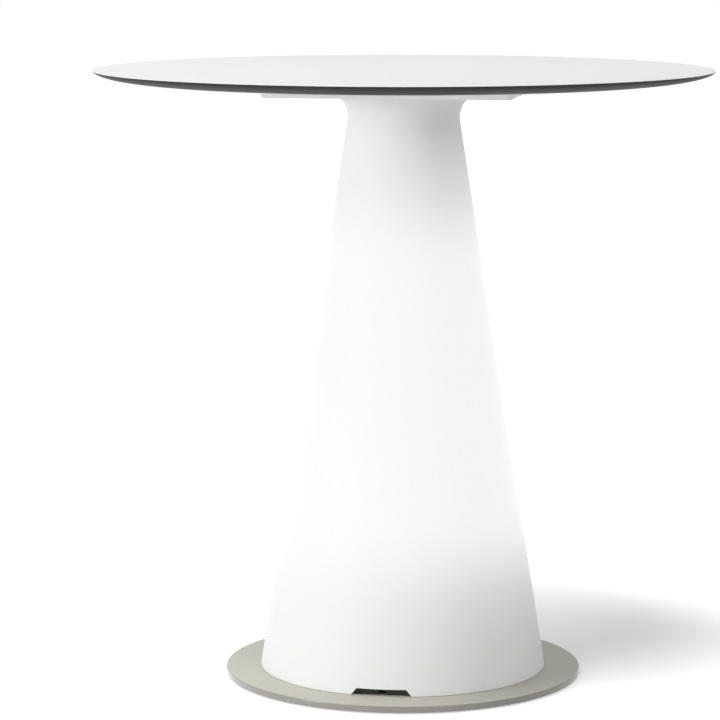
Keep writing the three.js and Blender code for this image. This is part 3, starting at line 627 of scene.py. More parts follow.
def coated_steel():
    """Satin coating of the plate. On the rim it is glossier, and painted shade makes it a tone darker."""
    gloss = {"Specular_IOR_Level": 0.06, "Coat_Roughness": 0.15, "Coat_IOR": 1.6}
    tree, sockets = finish("plate_coating", (0.57, 0.561, 0.492), 0.4, 0.48, 2200, 0.12, **gloss)
    coat = tree.source(sockets["Base Color"])
    flat = tree.vector_math("MULTIPLY", 0, tree.place(), (1, 1, 0))
    away = tree.vector_math("LENGTH", "Value", flat)
    rim = tree.ranged(away, plate_radius - PLATE_EDGE_RADIUS, plate_radius - PLATE_EDGE_RADIUS / 4)
    tree.feed(sockets["Coat Weight"], rim)
    # Painted shade: the rim's colour is made a tone darker
    tree.feed(sockets["Base Color"], tree.shaded(coat, 1 - rim * (1 - PLATE_RIM_PAINTED_SHADE_SHARE)))


# Colour, least and most roughness, scale and strength of the grain
finish("core_black", (0.05, 0.05, 0.051), 0.5, 0.6, 1500, 0.15, Specular_IOR_Level=0.04)
finish("laminate_white", (0.875, 0.875, 0.87), 0.42, 0.52, 1100, 0.12, tone=0.012)
lit_plastic()
coated_steel()
finish("grommet_rubber", (0.02, 0.02, 0.02), 0.65, 0.8, 900, 0.3)
finish("glide_nylon", (0.025, 0.025, 0.026), 0.45, 0.6, 1500, 0.2)
finish("screw_steel", (0.58, 0.59, 0.6), 0.26, 0.38, 2500, 0.1, Metallic=1)
finish("brass", (0.72, 0.5, 0.2), 0.26, 0.4, 2500, 0.1, Metallic=1)
finish("box_plastic", (0.055, 0.057, 0.06), 0.5, 0.62, 1300, 0.3)
finish("block_plastic", (0.72, 0.7, 0.66), 0.4, 0.5, 1500, 0.15)
finish("stem_enamel", (0.82, 0.82, 0.8), 0.32, 0.42, 1200, 0.15)
finish("lead_sheath", (0.78, 0.78, 0.76), 0.45, 0.58, 1800, 0.2)
finish("holder_ceramic", (0.78, 0.76, 0.7), 0.22, 0.34, 900, 0.1)
finish("heatsink_white", (0.8, 0.8, 0.79), 0.38, 0.5, 1600, 0.2)
finish("led_board", (0.76, 0.77, 0.74), 0.3, 0.42, 1800, 0.1)
warm = {"Emission_Color": (1, 0.97, 0.92, 1), "Emission_Strength": 1.2}
finish("lamp_opal", (0.85, 0.85, 0.84), 0.3, 0.4, 900, 0.1, **warm)


# Geometry trees

def ring_grid(tree, given):
    """A grid to wrap about Z, and the row and the share of the turn of its points.

    It has one row more at each end, for the middles that the shape closes to.
    """
    rows = given["Rows"] + 2
    inputs = {"Size X": 1, "Size Y": 1, "Vertices X": given["Sides"] + 1, "Vertices Y": rows}
    grid = tree.value("GeometryNodeMeshGrid", "Mesh", inputs)
    index = tree.value("GeometryNodeInputIndex", 0)
    return grid, index % rows, tree.math("FLOOR", index / rows) / given["Sides"]


def wrapped(tree, grid, radius, turn, height):
    """The grid with its points on circles about Z, and its seam and its middles merged."""
    place = tree.on_circle(radius, turn * (2 * math.pi), height)
    shaped = tree.value("GeometryNodeSetPosition", 0, {"Geometry": grid, "Position": place})
    return tree.value("GeometryNodeMergeByDistance", 0, {"Geometry": shaped, "Distance": MERGE_DISTANCE})


def dressed(tree, geometry, given, result):
    """Ends a geometry tree with real meshes that have their material."""
    real = tree.value("GeometryNodeRealizeInstances", 0, {"Geometry": geometry})
    done = tree.value("GeometryNodeSetMaterial", 0, {"Geometry": real, "Material": given["Material"]})
    tree.feed(result["Geometry"], done)
    return tree.tree


def geometry_tree(name, inputs):
    """A geometry node group in the making, with these inputs and its material."""
    inputs = {**inputs, "Material": ["Material"]}
    return group_tree(name, "GeometryNodeTree", inputs, {"Geometry": ["Geometry"]})


def bevelled_disc_tree():
    """Geometry tree of the core: a disc whose edge curves in underneath to a flat face."""
    sizes = ["Radius", "Top", "Thickness", "Inset", "Inset Power", "Depth Power"]
    tree, given, result = geometry_tree("bevelled_disc", {"Int": ["Sides", "Rows"], "Float": sizes})
    grid, row, turn = ring_grid(tree, given)
    edge_share = ((row - 1) / (given["Rows"] - 1)).clamped()
    share = edge_share**EDGE_CROWDING
    curve = 1 - (1 - share) ** given["Inset Power"]
    depth = curve ** given["Depth Power"] * given["Thickness"]
    out_share = tree.math("MINIMUM", row, 1)
    in_share = (row - given["Rows"]).clamped()
    edge_radius = given["Radius"] * out_share - share * given["Inset"]
    flat = (given["Radius"] - given["Inset"]) * in_share
    disc = wrapped(tree, grid, edge_radius - flat, turn, given["Top"] - depth)
    return dressed(tree, disc, given, result)


def threaded_rod_tree():
    """Geometry tree of a threaded rod about Z, with its ends chamfered."""
    sizes = ["Low", "High", "Radius", "Pitch", "Depth"]
    tree, given, result = geometry_tree("threaded_rod", {"Int": ["Sides", "Rows"], "Float": sizes})
    grid, row, turn = ring_grid(tree, given)
    share = ((row - 1) / (given["Rows"] - 1)).clamped()
    length = given["High"] - given["Low"]
    along = share * length
    phase = tree.math("FRACT", along / given["Pitch"] - turn)
    wave = tree.math("ABSOLUTE", phase * 2 - 1)
    crest = given["Radius"] - given["Depth"] * wave
    core = given["Radius"] - given["Depth"]
    to_end = tree.math("MINIMUM", along, length - along)
    side = tree.math("MINIMUM", crest, core + to_end)
    to_axis = tree.math("MINIMUM", row, given["Rows"] + 1 - row).clamped()
    thread = wrapped(tree, grid, side * to_axis, turn, given["Low"] + along)
    return dressed(tree, thread, given, result)


def copies_tree():
    """Geometry tree that sets copies of a piece out evenly on a circle, each turned by its angle."""
    sizes = ["Radius", "First Angle"]
    inputs = {"Object": ["Piece"], "Int": ["Count"], "Float": sizes, "Vector": ["Centre"]}
    tree, given, result = geometry_tree("copies_on_circle", inputs)
    index = tree.value("GeometryNodeInputIndex", 0)
    angle = index * (2 * math.pi) / given["Count"] + given["First Angle"]
    place = tree.vector_math("ADD", 0, tree.on_circle(given["Radius"], angle), given["Centre"])
    points = tree.value("GeometryNodePoints", 0, {"Count": given["Count"], "Position": place})
    piece = tree.value("GeometryNodeObjectInfo", "Geometry", {"Object": given["Piece"]})
    turn = tree.value("ShaderNodeCombineXYZ", 0, {"Z": angle})
    copies = {"Points": points, "Instance": piece, "Rotation": turn}
    return dressed(tree, tree.value("GeometryNodeInstanceOnPoints", 0, copies), given, result)


THREADED_ROD = threaded_rod_tree()
COPIES = copies_tree()


def made_by(tree, **values):
    """The mesh that a geometry tree makes from these values of its inputs."""
    source = object_of("source", bpy.data.meshes.new("source"))
    modifier = source.modifiers.new("tree", "NODES")
    modifier.node_group = tree
    for item in tree.interface.items_tree:
        if item.in_out == "INPUT":
            modifier[item.identifier] = values[item.name.replace(" ", "_")]
    return settled(source)


def threaded(radius, pitch, low, high):
    """A threaded rod between two levels."""
    thread = made_by(
        THREADED_ROD,
        Sides=THREAD_SIDES,
        Rows=round((high - low) / pitch * ROWS_PER_TURN),
        Low=low,
        High=high,
        Radius=radius,
        Pitch=pitch,
        Depth=pitch * THREAD_DEPTH_SHARE,
        Material=MATERIALS["screw_steel"],
    )
    return closed_out(thread)


def copied(mesh, slot, count, radius=0, first_angle=0, centre=(0, 0, 0)):
    """Copies of a mesh on a circle, as one mesh."""
    pattern = object_of("pattern", mesh)
    copies = made_by(
        COPIES,
        Piece=pattern,
        Count=count,
        Radius=radius,
        First_Angle=first_angle,
        Centre=centre,
        Material=MATERIALS[slot],
    )
    bpy.data.objects.remove(pattern)
    return copies


# Tabletop

def make_tabletop():
    """The black core with its bevelled edge, and the white sheet on each face."""
    disc = made_by(
        bevelled_disc_tree(),
        Sides=RIM_SIDES,
        Rows=EDGE_RINGS,
        Radius=top_radius,
        Top=core_top,
        Thickness=core_top - core_underside,
        Inset=TOP_EDGE_INSET,
        Inset_Power=EDGE_INSET_POWER,
        Depth_Power=EDGE_DEPTH_POWER,
        Material=MATERIALS["core_black"],
    )
    pocket = radius_of("top_insert_1") + FIT_GAP
    pockets = bores(pocket, core_underside - OVERRUN, insert_top + FIT_GAP, TOP_SCREWS)
    show("top_core", cut(closed_out(disc), pockets), "core_black", "tabletop_core")

    rim = (top_radius, core_top)
    middle = (0, table_height)
    edge = arc_points(rim, (top_radius, table_height), middle, SHEET_EDGE_RADIUS, SHEET_EDGE_STEPS)
    face = turned([(0, core_top), rim, *edge, middle], RIM_SIDES)
    show("top_face", face, "laminate_white", "tabletop_face")

    sheet = rod(backing_radius, flange_top, core_underside, RIM_SIDES)
    holes = bores(pocket, flange_top - OVERRUN, core_underside + OVERRUN, TOP_SCREWS)
    show("top_backing", cut(sheet, holes), "laminate_white", "tabletop_backing")


# Cone

def cone_radius(level):
    """Outer radius of the straight side of the cone."""
    return FOOT_RADIUS - cone_slope * (level - plate_top)


def notch_half_width(level):
    """Half the width of the cable notch."""
    share = (level - plate_top) / NOTCH_HEIGHT
    return (NOTCH_FOOT_WIDTH + (NOTCH_TOP_WIDTH - NOTCH_FOOT_WIDTH) * share) / 2


def column_angle(column, radius, level):
    """The angle of a column from the front. Columns crowd so that two of them follow the notch's sides."""
    if level > notch_top:
        even = 2 * math.pi * NOTCH_COLUMNS / CONE_COLUMNS
        edge = math.asin(notch_half_width(notch_top) / cone_radius(notch_top))
        edge += (even - edge) * min(1, (level - notch_top) / NOTCH_FADE_HEIGHT)
    else:
        edge = math.asin(notch_half_width(level) / radius)
    if abs(column) <= NOTCH_COLUMNS:
        return edge * column / NOTCH_COLUMNS
    share = (abs(column) - NOTCH_COLUMNS) / (HALF_COLUMNS - NOTCH_COLUMNS)
    return math.copysign(edge + (math.pi - edge) * share, column)


def round_row(radius, level):
    """A ring of points of the cone."""
    angles = [column_angle(column, radius, level) for column in range(-HALF_COLUMNS, HALF_COLUMNS)]
    return [(radius * math.sin(angle), -radius * math.cos(angle), level) for angle in angles]


def side_rows(start, end, inset):
    """Rings of points between two levels of the cone's side, set in from its outer face."""
    levels = [start + (end - start) * step / SIDE_STEPS for step in range(1, SIDE_STEPS)]
    return [round_row(cone_radius(level) - inset, level) for level in levels]


def square_row(inset, level):
    """A ring of points of the flange, a square with rounded corners."""
    quarter = CONE_COLUMNS // 4
    run = quarter // 2 - FLANGE_CORNER_COLUMNS
    side = flange_side / 2 - inset
    corner = FLANGE_CORNER_RADIUS - inset
    straight = side - corner
    points = []
    for column in range(-HALF_COLUMNS, HALF_COLUMNS):
        turn = math.floor(column / quarter + 0.5)
        step = column - turn * quarter
        x = straight * min(1, max(-1, step / run))
        y = -side
        past = abs(step) - run
        if past > 0:
            angle = math.pi / 2 * past / (2 * FLANGE_CORNER_COLUMNS)
            x = math.copysign(straight + corner * math.sin(angle), step)
            y = -straight - corner * math.cos(angle)
        point = Vector((x, y, level))
        point.rotate(Matrix.Rotation(turn * math.pi / 2, 3, "Z"))
        points.append(tuple(point))
    return points


def cone_rows():
    """Rings of points from the top of the flange down the outside, under the foot and up the inside."""
    foot = (FOOT_RADIUS, plate_top)
    neck = (NECK_RADIUS, flange_underside)
    far = NECK_RADIUS + flange_side
    edge = FLANGE_EDGE_RADIUS
    angles = [math.pi / 2 * step / ARC_STEPS for step in range(ARC_STEPS + 1)]
    waves = [(edge * math.sin(angle), edge * math.cos(angle)) for angle in angles]
    rows = [square_row(edge - sine, flange_top - edge + cosine) for sine, cosine in waves]
    rows.extend(square_row(edge - cosine, flange_underside + edge - sine) for sine, cosine in waves)
    fillet = arc_points(foot, neck, (far, flange_underside), NECK_FILLET, FILLET_STEPS)
    rows.extend(round_row(*point) for point in reversed(fillet))
    rows.extend(side_rows(fillet[0][1], notch_top, 0))
    first_notch_row = len(rows)
    rows.append(round_row(cone_radius(notch_top), notch_top))
    rim = arc_points(neck, foot, (0, plate_top), FOOT_EDGE_RADIUS)
    rows.extend(round_row(*point) for point in rim)

    ring_top = plate_top + FOOT_RING_THICKNESS
    floor = flange_underside + WALL
    inner_foot = (cone_radius(ring_top) - wall_across, ring_top)
    inner_neck = (cone_radius(floor) - wall_across, floor)
    ring = [(ring_inner_radius, plate_top), (ring_inner_radius, ring_top), inner_foot]
    rows.extend(round_row(*point) for point in ring)
    last_notch_row = len(rows)
    rows.append(round_row(cone_radius(notch_top) - wall_across, notch_top))
    fillet = arc_points(inner_foot, inner_neck, (far, floor), NECK_FILLET + WALL, FILLET_STEPS)
    rows.extend(side_rows(notch_top, fillet[0][1], wall_across))
    rows.extend(round_row(*point) for point in fillet)
    rows.append(round_row(fillet[-1][0], flange_top - WALL))
    return rows, first_notch_row, last_notch_row


def cone_mesh():
    """The hollow cone and its flange, with the notch through its foot."""
    rows, first, last = cone_rows()

    def at(row, column):
        return row * CONE_COLUMNS + (column + HALF_COLUMNS) % CONE_COLUMNS

    def quad(low, high, column):
        return [at(low, column), at(high, column), at(high, column + 1), at(low, column + 1)]

    faces = [[at(0, column) for column in range(CONE_COLUMNS)]]
    for row in range(len(rows) - 1):
        for column in range(-HALF_COLUMNS, HALF_COLUMNS):
            in_notch = first <= row < last and -NOTCH_COLUMNS <= column < NOTCH_COLUMNS
            if not in_notch:
                faces.append(quad(row, row + 1, column))
    faces.append([at(len(rows) - 1, column) for column in range(CONE_COLUMNS)])
    faces.extend(quad(first, last, column) for column in range(-NOTCH_COLUMNS, NOTCH_COLUMNS))
    for column in (-NOTCH_COLUMNS, NOTCH_COLUMNS):
        faces.append([at(row, column) for row in range(first, last + 1)])
    return mesh_from([point for row in rows for point in row], faces)


def make_cone():
    """The cone, with four screw holes in its flange."""
    low = flange_underside - OVERRUN
    high = flange_top + OVERRUN
    wide = TOP_SCREW_RECESS_RADIUS
    narrow = TOP_SCREW_HOLE_RADIUS
    recess = [(0, low), (wide, low), (wide, recess_top), (narrow, recess_top), (narrow, high), (0, high)]
    cutters = [turned(recess, CUT_SIDES, place_of(node)) for node in TOP_SCREWS]
    show("cone_shell", cut(cone_mesh(), cutters), "cone_plastic", "cone_body")


# Base plate

def make_plate():
    """The plate, with its sinks, sockets and tapped holes."""
    low = (plate_radius, plate_bottom)
    high = (plate_radius, plate_top)
    disc = [
        (0, plate_bottom),
        *arc_points((0, plate_bottom), low, high, PLATE_EDGE_RADIUS, PLATE_EDGE_STEPS),
        *arc_points(low, high, (0, plate_top), PLATE_EDGE_RADIUS, PLATE_EDGE_STEPS),
        (0, plate_top),
    ]
    shank = BASE_SHANK_RADIUS + FIT_GAP
    start = plate_bottom - FIT_GAP
    end = plate_top + OVERRUN
    sink = [(0, start), (SINK_RADIUS + 2 * FIT_GAP, start), (shank, sink_end), (shank, end), (0, end)]
    cutters = []
    for screw, stud in zip(numbered("base_screw", CORNER_COUNT), numbered("glide_stud", CORNER_COUNT)):
        cutters.append(turned(sink, CUT_SIDES, place_of(screw)))
        cutters.extend(bores(shank, plate_bottom - OVERRUN, plate_bottom + GLIDE_SOCKET_DEPTH, [stud]))
    cutters.extend(bores(TAP_RADIUS, plate_top - TAP_DEPTH, end, STEM_BASE_SCREWS + BOX_SCREWS))
    show("plate_disc", cut(turned(disc, RIM_SIDES), cutters), "plate_coating", "base_plate")


# Fittings

def hexagon(radius, angle):
    """Reach of a hexagon whose flats are this far from its middle."""
    sixth = math.pi / 3
    return radius / math.cos((angle + sixth / 2) % sixth - sixth / 2)


def knurled(radius, angle):
    """Reach of a rim with fine upright grooves."""
    return radius - KNURL_DEPTH * (1 - math.cos(KNURL_COUNT * angle)) / 2


def gripped(radius, angle):
    """Reach of a rim with coarse upright grooves for the fingers."""
    return radius - GRIP_DEPTH * abs(math.sin(GRIP_COUNT * angle / 2)) ** GRIP_POWER


def socket_points(size, bottom, face):
    """Points of a hexagon socket, from its bottom to the face that it is in."""
    return [(0, bottom), (size, bottom, hexagon), (size, face, hexagon)]


def zigzag(radius, low, high, pitch, depth):
    """Points of a turned thread from one level to another, as (radius, height)."""
    count = round(abs(high - low) / pitch)
    points = []
    for index in range(count):
        points.append((radius - depth, low + (high - low) * index / count))
        points.append((radius, low + (high - low) * (index + 0.5) / count))
    points.append((radius - depth, high))
    return points


def show_set(prefix, count, slot, mesh):
    """Copies of a piece, made about the Z axis, at the places of the nodes that it stands for."""
    nodes = numbered(prefix, count)
    places = [place_of(node) for node in nodes]
    centre = sum(places, Vector()) / count
    spoke = places[0] - centre
    copies = copied(mesh, slot, count, spoke.length, math.atan2(spoke.y, spoke.x), centre)
    show(f"{prefix}s", copies, slot, *nodes)


def insert_mesh(node, bore_radius):
    """A knurled brass insert with two grooves."""
    low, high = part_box(node)
    radius = radius_of(node)
    neck = radius - INSERT_GROOVE
    length = high.z - low.z
    levels = [low.z + length * share for share in INSERT_BAND_SHARES]
    profile = [(bore_radius, low.z), (neck, low.z)]
    for start, end in zip(levels[::2], levels[1::2]):
        profile.extend([(neck, start), (radius, start, knurled), (radius, end, knurled), (neck, end)])
    profile.extend([(neck, high.z), (bore_radius, high.z)])
    return turned(profile, KNURL_SIDES)


def screw_mesh(head, radius, pitch, low, high):
    """A screw: its turned head and its threaded shank."""
    return joined([turned(head, FIXING_SIDES), threaded(radius, pitch, low, high)])


def small_screw_mesh(node):
    """A cylinder-head screw with a hexagon socket, head up."""
    low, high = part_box(node)
    radius = radius_of(node)
    seat = high.z - SMALL_HEAD_HEIGHT
    socket = socket_points(SMALL_SOCKET, high.z - SMALL_HEAD_HEIGHT / 2, high.z)
    edge = arc_points((radius, seat), (radius, high.z), (0, high.z), SCREW_EDGE_RADIUS)
    head = [(0, seat), (radius, seat), *edge, *reversed(socket)]
    return screw_mesh(head, SMALL_SHANK_RADIUS, SMALL_PITCH, low.z, seat + SCREW_EDGE_RADIUS)


def make_fixings():
    """The inserts and the screws, each set as one piece."""
    show_set("top_insert", CORNER_COUNT, "brass", insert_mesh("top_insert_1", TOP_SCREW_HOLE_RADIUS))
    show_set("foot_insert", CORNER_COUNT, "brass", insert_mesh("foot_insert_1", BASE_SHANK_RADIUS + FIT_GAP))

    low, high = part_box("top_screw_1")
    radius = radius_of("top_screw_1")
    seat = (radius, recess_top)
    head = [
        *socket_points(TOP_SOCKET, recess_top - (recess_top - low.z) / 3, low.z),
        *arc_points((0, low.z), (radius, low.z), seat, TOP_HEAD_ROUNDING),
        seat,
        (0, recess_top),
    ]
    screw = screw_mesh(head, TOP_SHANK_RADIUS, TOP_PITCH, recess_top - SCREW_EDGE_RADIUS, high.z)
    show_set("top_screw", CORNER_COUNT, "screw_steel", screw)

    low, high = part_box("base_screw_1")
    radius = radius_of("base_screw_1")
    head = [
        *socket_points(BASE_SOCKET, low.z + BASE_SOCKET_DEPTH, low.z),
        (radius - SCREW_EDGE_RADIUS, low.z),
        (radius, low.z + SCREW_EDGE_RADIUS),
        (BASE_SHANK_RADIUS, sink_end),
        (0, sink_end),
    ]
    screw = screw_mesh(head, BASE_SHANK_RADIUS, BASE_PITCH, sink_end - SCREW_EDGE_RADIUS, high.z)
    show_set("base_screw", CORNER_COUNT, "screw_steel", screw)

    counts = {"stem_base": STEM_BASE_SCREW_COUNT, "box": BOX_SCREW_COUNT, "lid": BOX_SCREW_COUNT}
    for part, count in counts.items():
        show_set(f"{part}_screw", count, "screw_steel", small_screw_mesh(f"{part}_screw_1"))


def make_glides():
    """Each glide: a grooved nylon pad on a threaded stud, which slides down out of the plate."""
    low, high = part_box("glide_pad_1")
    radius = radius_of("glide_pad_1")
    socket = BASE_SHANK_RADIUS + FIT_GAP
    socket_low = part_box("glide_stud_1")[0].z
    groove = PAD_GROOVE
    middle = (low.z + high.z) / 2
    profile = [
        (0, low.z),
        *arc_points((0, low.z), (radius, low.z), (radius, high.z), PAD_EDGE_RADIUS),
        (radius, middle),
        (radius - groove, middle + groove),
        (radius - groove, high.z - groove),
        (radius, high.z - groove),
        *arc_points((radius, middle), (radius, high.z), (socket, high.z), groove / 2),
        (socket, high.z),
        (socket, socket_low),
        (0, socket_low),
    ]
    for number in range(1, CORNER_COUNT + 1):
        body = f"glide_{number}"
        place = place_of(f"glide_pad_{number}")
        pad = turned(profile, RIM_SIDES // 4, place)
        show(f"{body}_foot", pad, "glide_nylon", f"glide_pad_{number}", body=body)
        low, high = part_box(f"glide_stud_{number}")
        stud = threaded(BASE_SHANK_RADIUS, BASE_PITCH, low.z, high.z)
        stud.transform(Matrix.Translation(place))
        show(f"{body}_thread", stud, "screw_steel", f"glide_stud_{number}", body=body)


def make_grommet():
    """The rubber grommet in the notch, with an arched slot for a cord and two sealing lips."""
    low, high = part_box("cable_grommet")
    top_half = notch_half_width(high.z) - FIT_GAP
    foot_half = notch_half_width(low.z) - FIT_GAP
    slot = CORD_SLOT_WIDTH / 2
    arch = low.z + CORD_SLOT_HEIGHT - slot
    steps = CUT_SIDES // 4
    angles = [math.pi * (1 - step / steps) for step in range(steps + 1)]
    arc = [(slot * math.cos(angle), arch + slot * math.sin(angle)) for angle in angles]

    def outline(y, inset):
        foot = foot_half - inset
        top = top_half - inset
        level = high.z - inset
        inner = [(-slot, low.z), *arc, (slot, low.z)]
        outer = [(foot, low.z), (top, level), (-top, level), (-foot, low.z)]
        return [(x, y, z) for x, z in inner + outer]

    lip = GROMMET_LIP_LENGTH
    stations = [
        (low.y, GROMMET_BEVEL),
        (low.y + GROMMET_BEVEL, 0),
        (low.y + lip, 0),
        (low.y + lip + GROMMET_GROOVE, GROMMET_GROOVE),
        (high.y - lip - GROMMET_GROOVE, GROMMET_GROOVE),
        (high.y - lip, 0),
        (high.y - GROMMET_BEVEL, 0),
        (high.y, GROMMET_BEVEL),
    ]
    seal = stacked([outline(*station) for station in stations])
    show("cord_seal", seal, "grommet_rubber", "cable_grommet")


# Light kit inside the cone

def slab(low, high, radius):
    """A block between two corners with rounded edges."""
    shape = bmesh.new()
    bmesh.ops.create_cube(shape, size=1)
    middle = (Vector(low) + Vector(high)) / 2
    size = Vector(high) - Vector(low)
    for vertex in shape.verts:
        vertex.co = middle + vertex.co * size
    edges = list(shape.edges)
    bmesh.ops.bevel(shape, geom=edges, offset=radius, segments=BLOCK_EDGE_STEPS, profile=0.5, affect="EDGES")
    mesh = bpy.data.meshes.new("slab")
    shape.to_mesh(mesh)
    shape.free()
    return mesh


def laid(mesh, y, level):
    """A piece made about Z, with its outer face at zero, laid along Y."""
    mesh.transform(Matrix.Translation((0, y, level)) @ Matrix.Rotation(math.pi / 2, 4, "X"))
    return mesh


def make_terminal_box():
    """The box with its posts, its lid and the terminal block."""
    low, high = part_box("terminal_box")
    lid_low, lid_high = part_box("terminal_lid")
    wall = BOX_WALL
    edge = BOX_EDGE_RADIUS
    inside = slab(low + Vector((wall, wall, wall)), (high.x - wall, high.y - wall, high.z + OVERRUN), edge)
    gland_hole = laid(rod(GLAND_THREAD_RADIUS + FIT_GAP, -wall - OVERRUN, OVERRUN), low.y, gland_level)
    lead_hole = laid(rod(LEAD_RADIUS + FIT_GAP, -OVERRUN, wall + OVERRUN), high.y, lead_level)
    floor_holes = bores(TAP_RADIUS, low.z - OVERRUN, low.z + OVERRUN, BOX_SCREWS)
    shell = cut(slab(low, high, edge), [inside, *floor_holes, gland_hole, lead_hole])
    start = low.z + wall / 2
    end = lid_low.z - FIT_GAP
    post = [(TAP_RADIUS, start), (BOX_POST_RADIUS, start), (BOX_POST_RADIUS, end), (TAP_RADIUS, end)]
    posts = [turned(post, CUT_SIDES, place_of(node)) for node in LID_SCREWS]
    show("terminal_case", joined([shell, *posts]), "box_plastic", "terminal_box")

    margin = wall + FIT_GAP
    lip_low = (low.x + margin, low.y + margin, lid_low.z)
    lip = slab(lip_low, (high.x - margin, high.y - margin, high.z + edge), edge)
    lid = slab((lid_low.x, lid_low.y, high.z), lid_high, edge)
    holes = bores(TAP_RADIUS, lid_low.z - OVERRUN, lid_high.z + OVERRUN, LID_SCREWS)
    show("terminal_cover", joined([cut(lid, holes), cut(lip, holes)]), "box_plastic", "terminal_lid")

    low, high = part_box("terminal_block")
    middle = (low + high) / 2
    cutters = []
    for step in (-1, 0, 1):
        place = (middle.x + step * BLOCK_PORT_SPACING, middle.y, 0)
        cutters.append(rod(BLOCK_PORT_RADIUS, middle.z, high.z + OVERRUN, place=place))
    for step in (-0.5, 0.5):
        x = middle.x + step * BLOCK_PORT_SPACING
        groove_low = (x - BLOCK_GROOVE, low.y - OVERRUN, high.z - 2 * BLOCK_GROOVE)
        cutters.append(slab(groove_low, (x + BLOCK_GROOVE, high.y + OVERRUN, high.z + OVERRUN), FIT_GAP))
    show("terminal_strip", cut(slab(low, high, edge), cutters), "block_plastic", "terminal_block")


def hexagon_ring(inner, half, low, high):
    """A hexagon nut about Z with chamfered corners."""
    edge = SCREW_EDGE_RADIUS
    profile = [
        (inner + edge, low),
        (half - edge, low),
        (half, low + edge, hexagon),
        (half, high - edge, hexagon),
        (half - edge, high),
        (inner + edge, high),
        (inner, high - edge),
        (inner, low + edge),
    ]
    return turned(profile, FIXING_SIDES)


def make_gland():
    """The cable gland through the wall of the box, its cap outside and its nut inside."""
    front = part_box("terminal_box")[0].y
    bore = GLAND_BORE_RADIUS
    thread = GLAND_THREAD_RADIUS
    depth = GLAND_PITCH * THREAD_DEPTH_SHARE
    half = GLAND_HALF_HEX
    collar = GLAND_HEX_LENGTH
    nose = collar + GLAND_NOSE_LENGTH
    inner_end = -(BOX_WALL + GLAND_NUT_LENGTH + FIT_GAP)
    edge = SCREW_EDGE_RADIUS
    body = [
        (bore, inner_end),
        *zigzag(thread, inner_end, 0, GLAND_PITCH, depth),
        (half - edge, 0),
        (half, edge, hexagon),
        (half, collar - edge, hexagon),
        (half - edge, collar),
        *zigzag(thread, collar, nose, GLAND_PITCH, depth),
        (bore, nose),
    ]
    show("gland_body", laid(turned(body, FIXING_SIDES), front, gland_level), "glide_nylon", "cable_gland")

    low = collar + FIT_GAP
    high = low + GLAND_CAP_LENGTH
    outer = GLAND_CAP_RADIUS
    rounding = GLAND_CAP_LENGTH / 3
    cap = [
        (thread + FIT_GAP, low),
        (outer, low, gripped),
        (outer, high - rounding, gripped),
        *arc_points((outer, low), (outer, high), (0, high), rounding)[1:],
        (bore, high),
        (bore, nose + FIT_GAP),
        (thread + FIT_GAP, nose + FIT_GAP),
    ]
    show("gland_dome", laid(turned(cap, KNURL_SIDES), front, gland_level), "glide_nylon", "gland_cap")

    nut = hexagon_ring(thread + FIT_GAP, half, -BOX_WALL - GLAND_NUT_LENGTH, -BOX_WALL)
    show("gland_ring", laid(nut, front, gland_level), "glide_nylon", "gland_nut")


def make_stem():
    """The pressed base of the lamp stem, its two nuts and the threaded tube."""
    low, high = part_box("stem_base")
    brim = high.x
    wall = STEM_BASE_WALL
    foot = STEM_FOOT_RADIUS
    crown = STEM_CROWN_RADIUS
    bore = STEM_RADIUS + FIT_GAP
    shelf = low.z + wall
    profile = [
        (foot - wall, low.z),
        (brim, low.z),
        *arc_points((brim, low.z), (brim, shelf), (foot, shelf), wall / 3),
        *arc_points((brim, shelf), (foot, shelf), (crown, high.z), wall),
        *arc_points((foot, shelf), (crown, high.z), (bore, high.z), wall),
        (bore, high.z),
        (bore, high.z - wall),
        (crown - wall, high.z - wall),
        (foot - wall, shelf),
    ]
    holes = bores(TAP_RADIUS, low.z - OVERRUN, shelf + OVERRUN, STEM_BASE_SCREWS)
    lead_hole = laid(rod(LEAD_RADIUS + FIT_GAP, 0, brim), 0, lead_level)
    show("stem_foot", cut(turned(profile, KNURL_SIDES), [*holes, lead_hole]), "stem_enamel", "stem_base")

    for name in ("upper", "lower"):
        low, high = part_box(f"stem_nut_{name}")
        nut = hexagon_ring(bore, STEM_NUT_HALF, low.z, high.z)
        show(f"stem_ring_{name}", nut, "screw_steel", f"stem_nut_{name}")

    low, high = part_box("lamp_stem")
    depth = STEM_PITCH * THREAD_DEPTH_SHARE
    low_thread_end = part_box("stem_nut_upper")[1].z + STEM_THREAD_MARGIN
    high_thread_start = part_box("lampholder")[0].z - STEM_THREAD_MARGIN
    tube = [
        (STEM_BORE_RADIUS, low.z),
        *zigzag(STEM_RADIUS, low.z, low_thread_end, STEM_PITCH, depth),
        (STEM_RADIUS, low_thread_end),
        (STEM_RADIUS, high_thread_start),
        *zigzag(STEM_RADIUS, high_thread_start, high.z, STEM_PITCH, depth),
        (STEM_BORE_RADIUS, high.z),
    ]
    show("stem_tube", turned(tube, FIXING_SIDES), "stem_enamel", "lamp_stem")


def make_lead():
    """The lead from the terminal block through the stem base and up the stem."""
    low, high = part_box("lamp_lead")
    bend = LEAD_BEND_RADIUS
    points = [(low.y, lead_level)]
    for step in range(FILLET_STEPS + 1):
        share = step / FILLET_STEPS
        points.append((-bend * (1 - share) ** 2, lead_level + bend * share**2))
    points.append((0, high.z))
    rows = []
    for index, (y, z) in enumerate(points):
        before = Vector(points[max(0, index - 1)])
        after = Vector(points[min(len(points) - 1, index + 1)])
        along = (after - before).normalized()
        row = []
        for side in range(THREAD_SIDES):
            angle = 2 * math.pi * side / THREAD_SIDES
            up = LEAD_RADIUS * math.sin(angle)
            row.append((LEAD_RADIUS * math.cos(angle), y - up * along.y, z + up * along.x))
        rows.append(row)
    show("stem_lead", stacked(rows), "lead_sheath", "lamp_lead")


